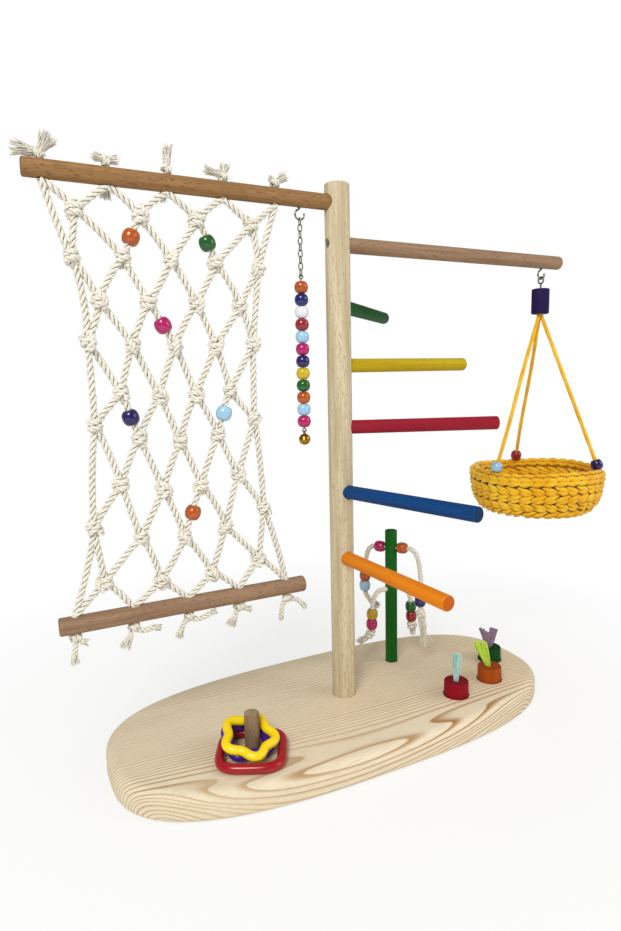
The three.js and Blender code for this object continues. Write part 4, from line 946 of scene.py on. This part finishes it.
settle(swept("nest_eye_ring", [wire_ring(eye_middle, NEST_EYE, "YZ")], NEST_WIRE, nickel, 4, closed=True),
       "nest_hanger", "nickel", "nest_eye")
shank = [eye_middle + up(z) for z in (-NEST_EYE, -9, -16)]
settle(swept("nest_eye_shank", [shank], NEST_WIRE, nickel, 4), "nest_hanger", "nickel", "nest_eye")
block_low, block_high = (corner.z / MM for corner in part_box("nest_block"))
navy = dowel_wood("dyed hardwood block", "#20124A", "#120A30", "#180C36", fleck=0.6, streak=0.5, rough=0.6,
                  worn="#32245A")
block = turned("nest_block_turned", eased(9, block_low, block_high, 1.5), navy, NEST_AT, steps=48)
carve(block, turned("drill", ball_outline(5.6, 10), navy, NEST_AT + up(block_low + 2), steps=32),
      drill(1.2, 9, NEST_AT + up(block_high)))
settle(block, "nest_hanger", "purple_dye", "nest_block")


# ---------------- nest
# A shallow basket crocheted from thick jersey yarn, cut from yellow T-shirt cloth. Three plain lengths of
# the yarn carry it from a knot under the block, each with a lacquered bead where it enters the rim.
def jersey_finish(name, colour, deep, pale):
    """Jersey yarn: soft matt cloth rolled on itself, in tones that vary at random, with painted shade in the
    gaps between stitches, where the AO node darkens it to the deep colour, so that their crowns read paler,
    and with knitted ribs about a millimetre apart."""
    finish, tree = new_finish(name)
    place = object_place(tree)
    cloth = mix(tree, remap(tree, noise(tree, place, 60, 3), (0.35, 0.7)), colour, pale)
    # Painted shade: where the AO node finds the gaps between stitches hidden, the cloth is darkened to the
    # deep colour.
    gap = add(tree, "AmbientOcclusion", {"Distance": 0.004}, samples=4)
    unshaded_share = remap(tree, gap.outputs["AO"], (0.25, 0.75))
    knit = noise(tree, place, 900, 2, 0.6)
    return surfaced(finish, mix(tree, unshaded_share, deep, cloth), 0.85, relief(tree, knit, 0.35, 0.0004),
                    IOR=1.45, Sheen_Weight=0.3, Sheen_Roughness=0.4, Specular_IOR_Level=0.3)


# 824F02 is painted shade for the gaps between stitches.
jersey = jersey_finish("yellow jersey yarn", "#E5A60C", "#824F02", "#F4C62C")
NEST_RIM, NEST_HIGH, NEST_WALL = 68.5, 43, 9
rim_high = block_low - 166
foot_high = rim_high - NEST_HIGH
nest_axis = NEST_AT
# The wall's outside: height over the foot and radius.
WALL = [(0, 51), (2.5, 57), (8, 61.5), (19, 66), (36, 68.4), (43, 66.5)]


def wall_radius(height):
    """The radius of the basket's outside at a height over its foot."""
    for (low, r_low), (high, r_high) in zip(WALL, WALL[1:]):
        if height <= high:
            return r_low + (r_high - r_low) * (max(height, low) - low) / (high - low)
    return WALL[-1][1]


def basket_point(degrees, radius, height):
    """A place on the basket, whose rim waves a little."""
    wave = 1.2 * sin(radians(3 * degrees + 40)) * height / NEST_HIGH
    return nest_axis + heading_of(degrees) * radius + up(foot_high + height + wave)


draw = random.Random(11)
stitches = []


def leg(points):
    """One leg of a stitch: a short puffed length of yarn."""
    stitches.append(through(points, (points[-1] - points[0]).length / 3.2))


def wall_row(height, count, lean, inside, first):
    """A row of puffed stitches that lean over each other along the wall, with a smaller one under each."""
    inset = NEST_WALL - 2.4 if inside else 2.6
    puff = -1.6 if inside else 1.9
    step = 360 / count
    for i in range(count):
        middle = first + i * step + draw.uniform(-0.7, 0.7)
        swell = draw.uniform(0.8, 1.25)
        for rise, reach, drop in ((2.9, 0.72, 0.4), (1.2, 0.5, 3.6)):
            ends = []
            for share, out in ((-1, -0.9), (-0.1, puff * swell), (1, -0.9)):
                level = height + lean * rise * share - drop + (swell - 1) * 2
                turn = middle + step * reach * share
                ends.append(basket_point(turn, wall_radius(level) - inset + out, level))
            leg(ends)


for row, height in enumerate((30.5, 22, 13.5, 5)):
    wall_row(height, 35 - row, 1 if row % 2 else -1, False, row * 4.9)
for row, height in enumerate((33, 24.5, 16)):
    wall_row(height, 32 - row, -1 if row % 2 else 1, True, row * 5.1)
# The rim: a chain of sideways stitches that runs round the outside, and a second one round its crown.
for count, inset, height, half in ((36, 1.4, 38.6, 2.5), (34, 5.4, 42, 2.2)):
    step = 360 / count
    for i in range(count):
        a = i * step
        for side in (-1, 1):
            leg([basket_point(a, NEST_RIM - inset - 0.8, height + side * half),
                 basket_point(a + step * 0.55, NEST_RIM - inset + 0.6, height + side * half * 0.95),
                 basket_point(a + step * 1.25, NEST_RIM - inset - 0.6, height + side * 0.5)])
# The floor: rounds of stitches, six more in each round, seen from below and from above.
for level, turn_over in ((3.2, -1), (7.2, 1)):
    for number in range(1, 6):
        radius, count = number * 9.6 - 2.5, number * 6
        for i in range(count):
            for side in (-1, 1):
                middle = (i + 0.5) * 360 / count
                leg([basket_point(middle + side * 30 / number * share, radius + out, level + turn_over * puff)
                     for share, out, puff in ((0.15, -4.6, 0), (0.5, 0, 0.9), (0.75, 4.6, 0))])
basket_yarn = swept("nest_basket_stitches", stitches, 3, jersey, 1, taper=lambda t: 0.55 + 0.45 * sin(pi * t))
settle(basket_yarn, "nest", "yarn", "nest_basket")
# The core under the stitches is turned in a darker copy of the yarn: painted shade, so that the basket reads
# dark between its stitches and shows no light through.
core = [(0, 2.6), (50, 2.6), (55.5, 5), (59.5, 12), (62.5, 20), (65, 36), (63.5, 40.5), (61.5, 36),
        (58.5, 20), (54.5, 12.5), (49, 7.8), (0, 7.8)]
painted_shade_yarn = jersey_finish("jersey yarn in shade", "#A8740A", "#6E4602", "#B8820E")
settle(turned("nest_basket_core", core, painted_shade_yarn, nest_axis + up(foot_high), steps=72, sharp=80),
       "nest", "yarn", "nest_basket")

nest_knot = NEST_AT + up(block_low + 2)
NEST_TURNS = {"sky": 184.8, "crimson": 64.8, "indigo": -55.2}
yarn_lines = []
for number, (colour, degrees) in enumerate(NEST_TURNS.items()):
    seat = nest_axis + heading_of(degrees) * (NEST_RIM - NEST_WALL / 2) + up(rim_high)
    run = (seat - nest_knot).normalized()
    aside = run.cross(up(1)).normalized()
    points = [nest_knot + run * 2, nest_knot.lerp(seat, 0.35) + aside * 0.7,
              nest_knot.lerp(seat, 0.7) - aside * 0.5, seat - run * 8, seat + run * 4]
    yarn_lines += laid(through(points, 2.2), 0.8, 95, 4, number)
    made = bead(f"rim_bead_{colour}_round", seat - run * 7.8, run, 6, 10.6, 2.45, lacquers[colour])
    settle(made, "nest", "bead_" + colour, "rim_bead_" + colour)
    stitch_end = [seat + run * 1.5 + heading_of(degrees + 90) * s * 3.5 + up(z - 1)
                  for s, z in ((-1, -1), (0, 1.2), (1, -1))]
    yarn_lines.append(through(stitch_end, 1.2))
settle(swept("nest_cords_yarn", yarn_lines, 1.2, jersey, 2), "nest", "yarn", "nest_cords")
knot_yarn = knot_lines(nest_knot + up(-0.6), Vector((0.2, 0.1, 1)), 3.2, 77)
settle(swept("nest_knot_yarn", knot_yarn, 0.9, jersey), "nest", "yarn", "nest_cords")


# ---------------- stacking rings
# Three loose rings for a bird to lift off the peg, moulded in glossy plastic 8 mm thick: a red rounded
# square lies on the board, a purple ring with four lobes on it, and a yellow flower leans on top.
def plastic(name, colour, deep):
    """Injection-moulded ABS: saturated, glossy, very slightly uneven."""
    finish, tree = new_finish("moulded plastic " + name)
    place = object_place(tree)
    skin = noise(tree, place, 500)
    return surfaced(finish, mix(tree, noise(tree, place, 55), deep, colour),
                    remap(tree, skin, target=(0.16, 0.3)), relief(tree, skin, 0.05, 0.0003), IOR=1.52)


# Each ring: tube radius, mean radius, lobes, their depth and turn, its offset to the right and to the back,
# and how far its back and its right side are tilted up.
RINGS = [
    ("ring_red", "red_ring", 4, 25, 0, 0, 0, 0, -7.7, 0, 0, "#AC0A16", "#900410"),
    ("ring_purple", "purple_ring", 3.75, 17.5, 4, 2.5, 67, -4, -1, 14.7, -8, "#5020A4", "#3A1284"),
    ("ring_yellow", "yellow_ring", 3.75, 19, 5, 2.3, 75, -1.8, -7.3, 14.3, -8.1, "#FFE204", "#F4CC00"),
]
RING_FACING = -26
for name, body, tube, mean, lobes, depth, first, right, back, tilt, lean, colour, deep in RINGS:
    line = []
    for i in range(120):
        angle = 2 * pi * i / 120
        reach = mean + depth * cos(lobes * (angle - radians(first)))
        if not lobes:
            reach = mean / (cos(angle) ** 4 + sin(angle) ** 4) ** 0.25
        out, rear = reach * cos(angle), reach * sin(angle)
        line.append(RING_PEG_AT + heading_of(RING_FACING) * (out * cos(radians(lean)) + right)
                    + heading_of(RING_FACING + 90) * (rear * cos(radians(tilt)) + back)
                    + up(rear * sin(radians(tilt)) + out * sin(radians(lean))))
    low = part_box(name)[0].z / MM
    lift = low + tube - min(p.z for p in line)
    line = [p + up(lift) for p in line]
    ring = swept(name + "_moulded", [line], tube, plastic(body, colour, deep), 7, closed=True)
    settle(ring, body, name, name)


# ---------------- plugs and their paper
# Three short dyed dowels, 23 mm across, stand loosely in wells of the board for a bird to pull out. A hole
# in the top of each holds a folded tuft of crinkled paper: aqua loops, lime loops, and a lilac fringe.
def crinkled_paper(name, colour, deep):
    """Crinkled tissue paper: matt, thin, with creases along the strip that catch the light, and painted shade
    in the hollows of the creases.
    """
    finish, tree = new_finish("crinkled paper " + name)
    crease = noise(tree, object_place(tree), (1500, 1500, 160), 3, 0.7, 0.6)
    # Painted shade: the deep colour lies where the crease relief is low, in the hollows of the creases.
    return surfaced(finish, mix(tree, remap(tree, crease, (0.36, 0.6)), deep, colour), 0.7,
                    relief(tree, crease, 0.7, 0.0005), IOR=1.45, Sheen_Weight=0.2)


PLUG_RADIUS, PLUG_PROUD, PLUG_SUNK = 11.5, 14, 8.7
PLUGS = [
    ("red", "#94061E", "#62020E", "#7C0418"), ("orange", "#A84C0C", "#7C3404", "#94400A"),
    ("green", "#084E14", "#04300A", "#063E10"),
]
across, rear = heading_of(RING_FACING), heading_of(RING_FACING + 90)
for (colour, light, dark, end), place in zip(PLUGS, PLUG_PLACES):
    wood = dowel_wood("dyed plug " + colour, light, dark, end, fleck=0.4, streak=0.4, rough=0.6)
    outline = eased(PLUG_RADIUS, -PLUG_SUNK, PLUG_PROUD, 1.2)
    plug = turned(f"plug_{colour}_dowel", outline, wood, place + board_top, steps=56)
    carve(plug, drill(3.3, 6, place + board_top + up(PLUG_PROUD)))
    settle(plug, colour + "_plug", "plug_" + colour, "plug_" + colour)


def tuft_lines(place, strips, arch):
    """Strips of a tuft: each rises from the hole, and folds back into it where it is an arch. A strip is
    its lean across, its lean back, its height and, for an arch, half its width."""
    root = place + board_top + up(PLUG_PROUD - 4)
    lines = []
    for lean, back, tall, half in strips:
        top = root + across * lean + rear * back + up(tall + 4)
        if arch:
            points = [root - across * half * 0.5, root.lerp(top, 0.55) - across * half * 0.9,
                      top - across * half * 0.8 - up(2), top,
                      top + across * half * 0.8 - up(2), root.lerp(top, 0.55) + across * half * 0.9,
                      root + across * half * 0.5]
        else:
            bow = across * half
            points = [root, root.lerp(top, 0.4) - bow, root.lerp(top, 0.75), top]
        lines.append(through(points, 1.5))
    return lines


aqua = crinkled_paper("aqua", "#C6E8E0", "#8FBDB6")
AQUA = [(-2.6, 0.4, 26, 1.5), (-0.9, -0.8, 27, 1.6), (0.9, 0.6, 26.5, 1.5), (2.6, -0.4, 25, 1.6),
        (0, 1.2, 25.5, 2.6)]
settle(swept("paper_loops_aqua_folded", tuft_lines(PLUG_PLACES[0], AQUA, True), 0.5, aqua, 1, flat=0.65,
             tilt=lambda t: 0.6 + 1.4 * t), "aqua_paper", "paper_aqua", "paper_loops_aqua")
lime = crinkled_paper("lime", "#D4F04C", "#9CBC24")
LIME = [(-14, 0.6, 25, 1.7), (-12.6, -0.8, 25.5, 1.4), (-6.4, 0.5, 25, 1.7), (-5.2, -0.8, 24.5, 1.5)]
settle(swept("paper_loops_lime_folded", tuft_lines(PLUG_PLACES[1], LIME, True), 0.75, lime, 1, flat=0.6,
             tilt=lambda t: 0.3 + 1.0 * t), "lime_paper", "paper_lime", "paper_loops_lime")
lilac = crinkled_paper("lilac", "#9C849A", "#6C5669")
LILAC = [(-10.5, 0.3, 20.5, 1.0), (-7.6, -0.8, 19.5, 0.7), (-4.6, 0.5, 16.5, 0.4), (-1.8, -0.6, 16, 0.1),
         (1.4, 0.7, 20.5, -0.3), (4.4, -0.5, 20, -0.6), (7, 0.2, 19, -0.9)]
settle(swept("paper_fringe_lilac_cut", tuft_lines(PLUG_PLACES[2], LILAC, False), 0.3, lilac, 1, flat=1.5,
             taper=lambda t: 0.45 + 0.55 * min(1, 1.6 * t), tilt=lambda t: 0.35 * sin(6 * t)),
       "lilac_paper", "paper_lilac", "paper_fringe_lilac")
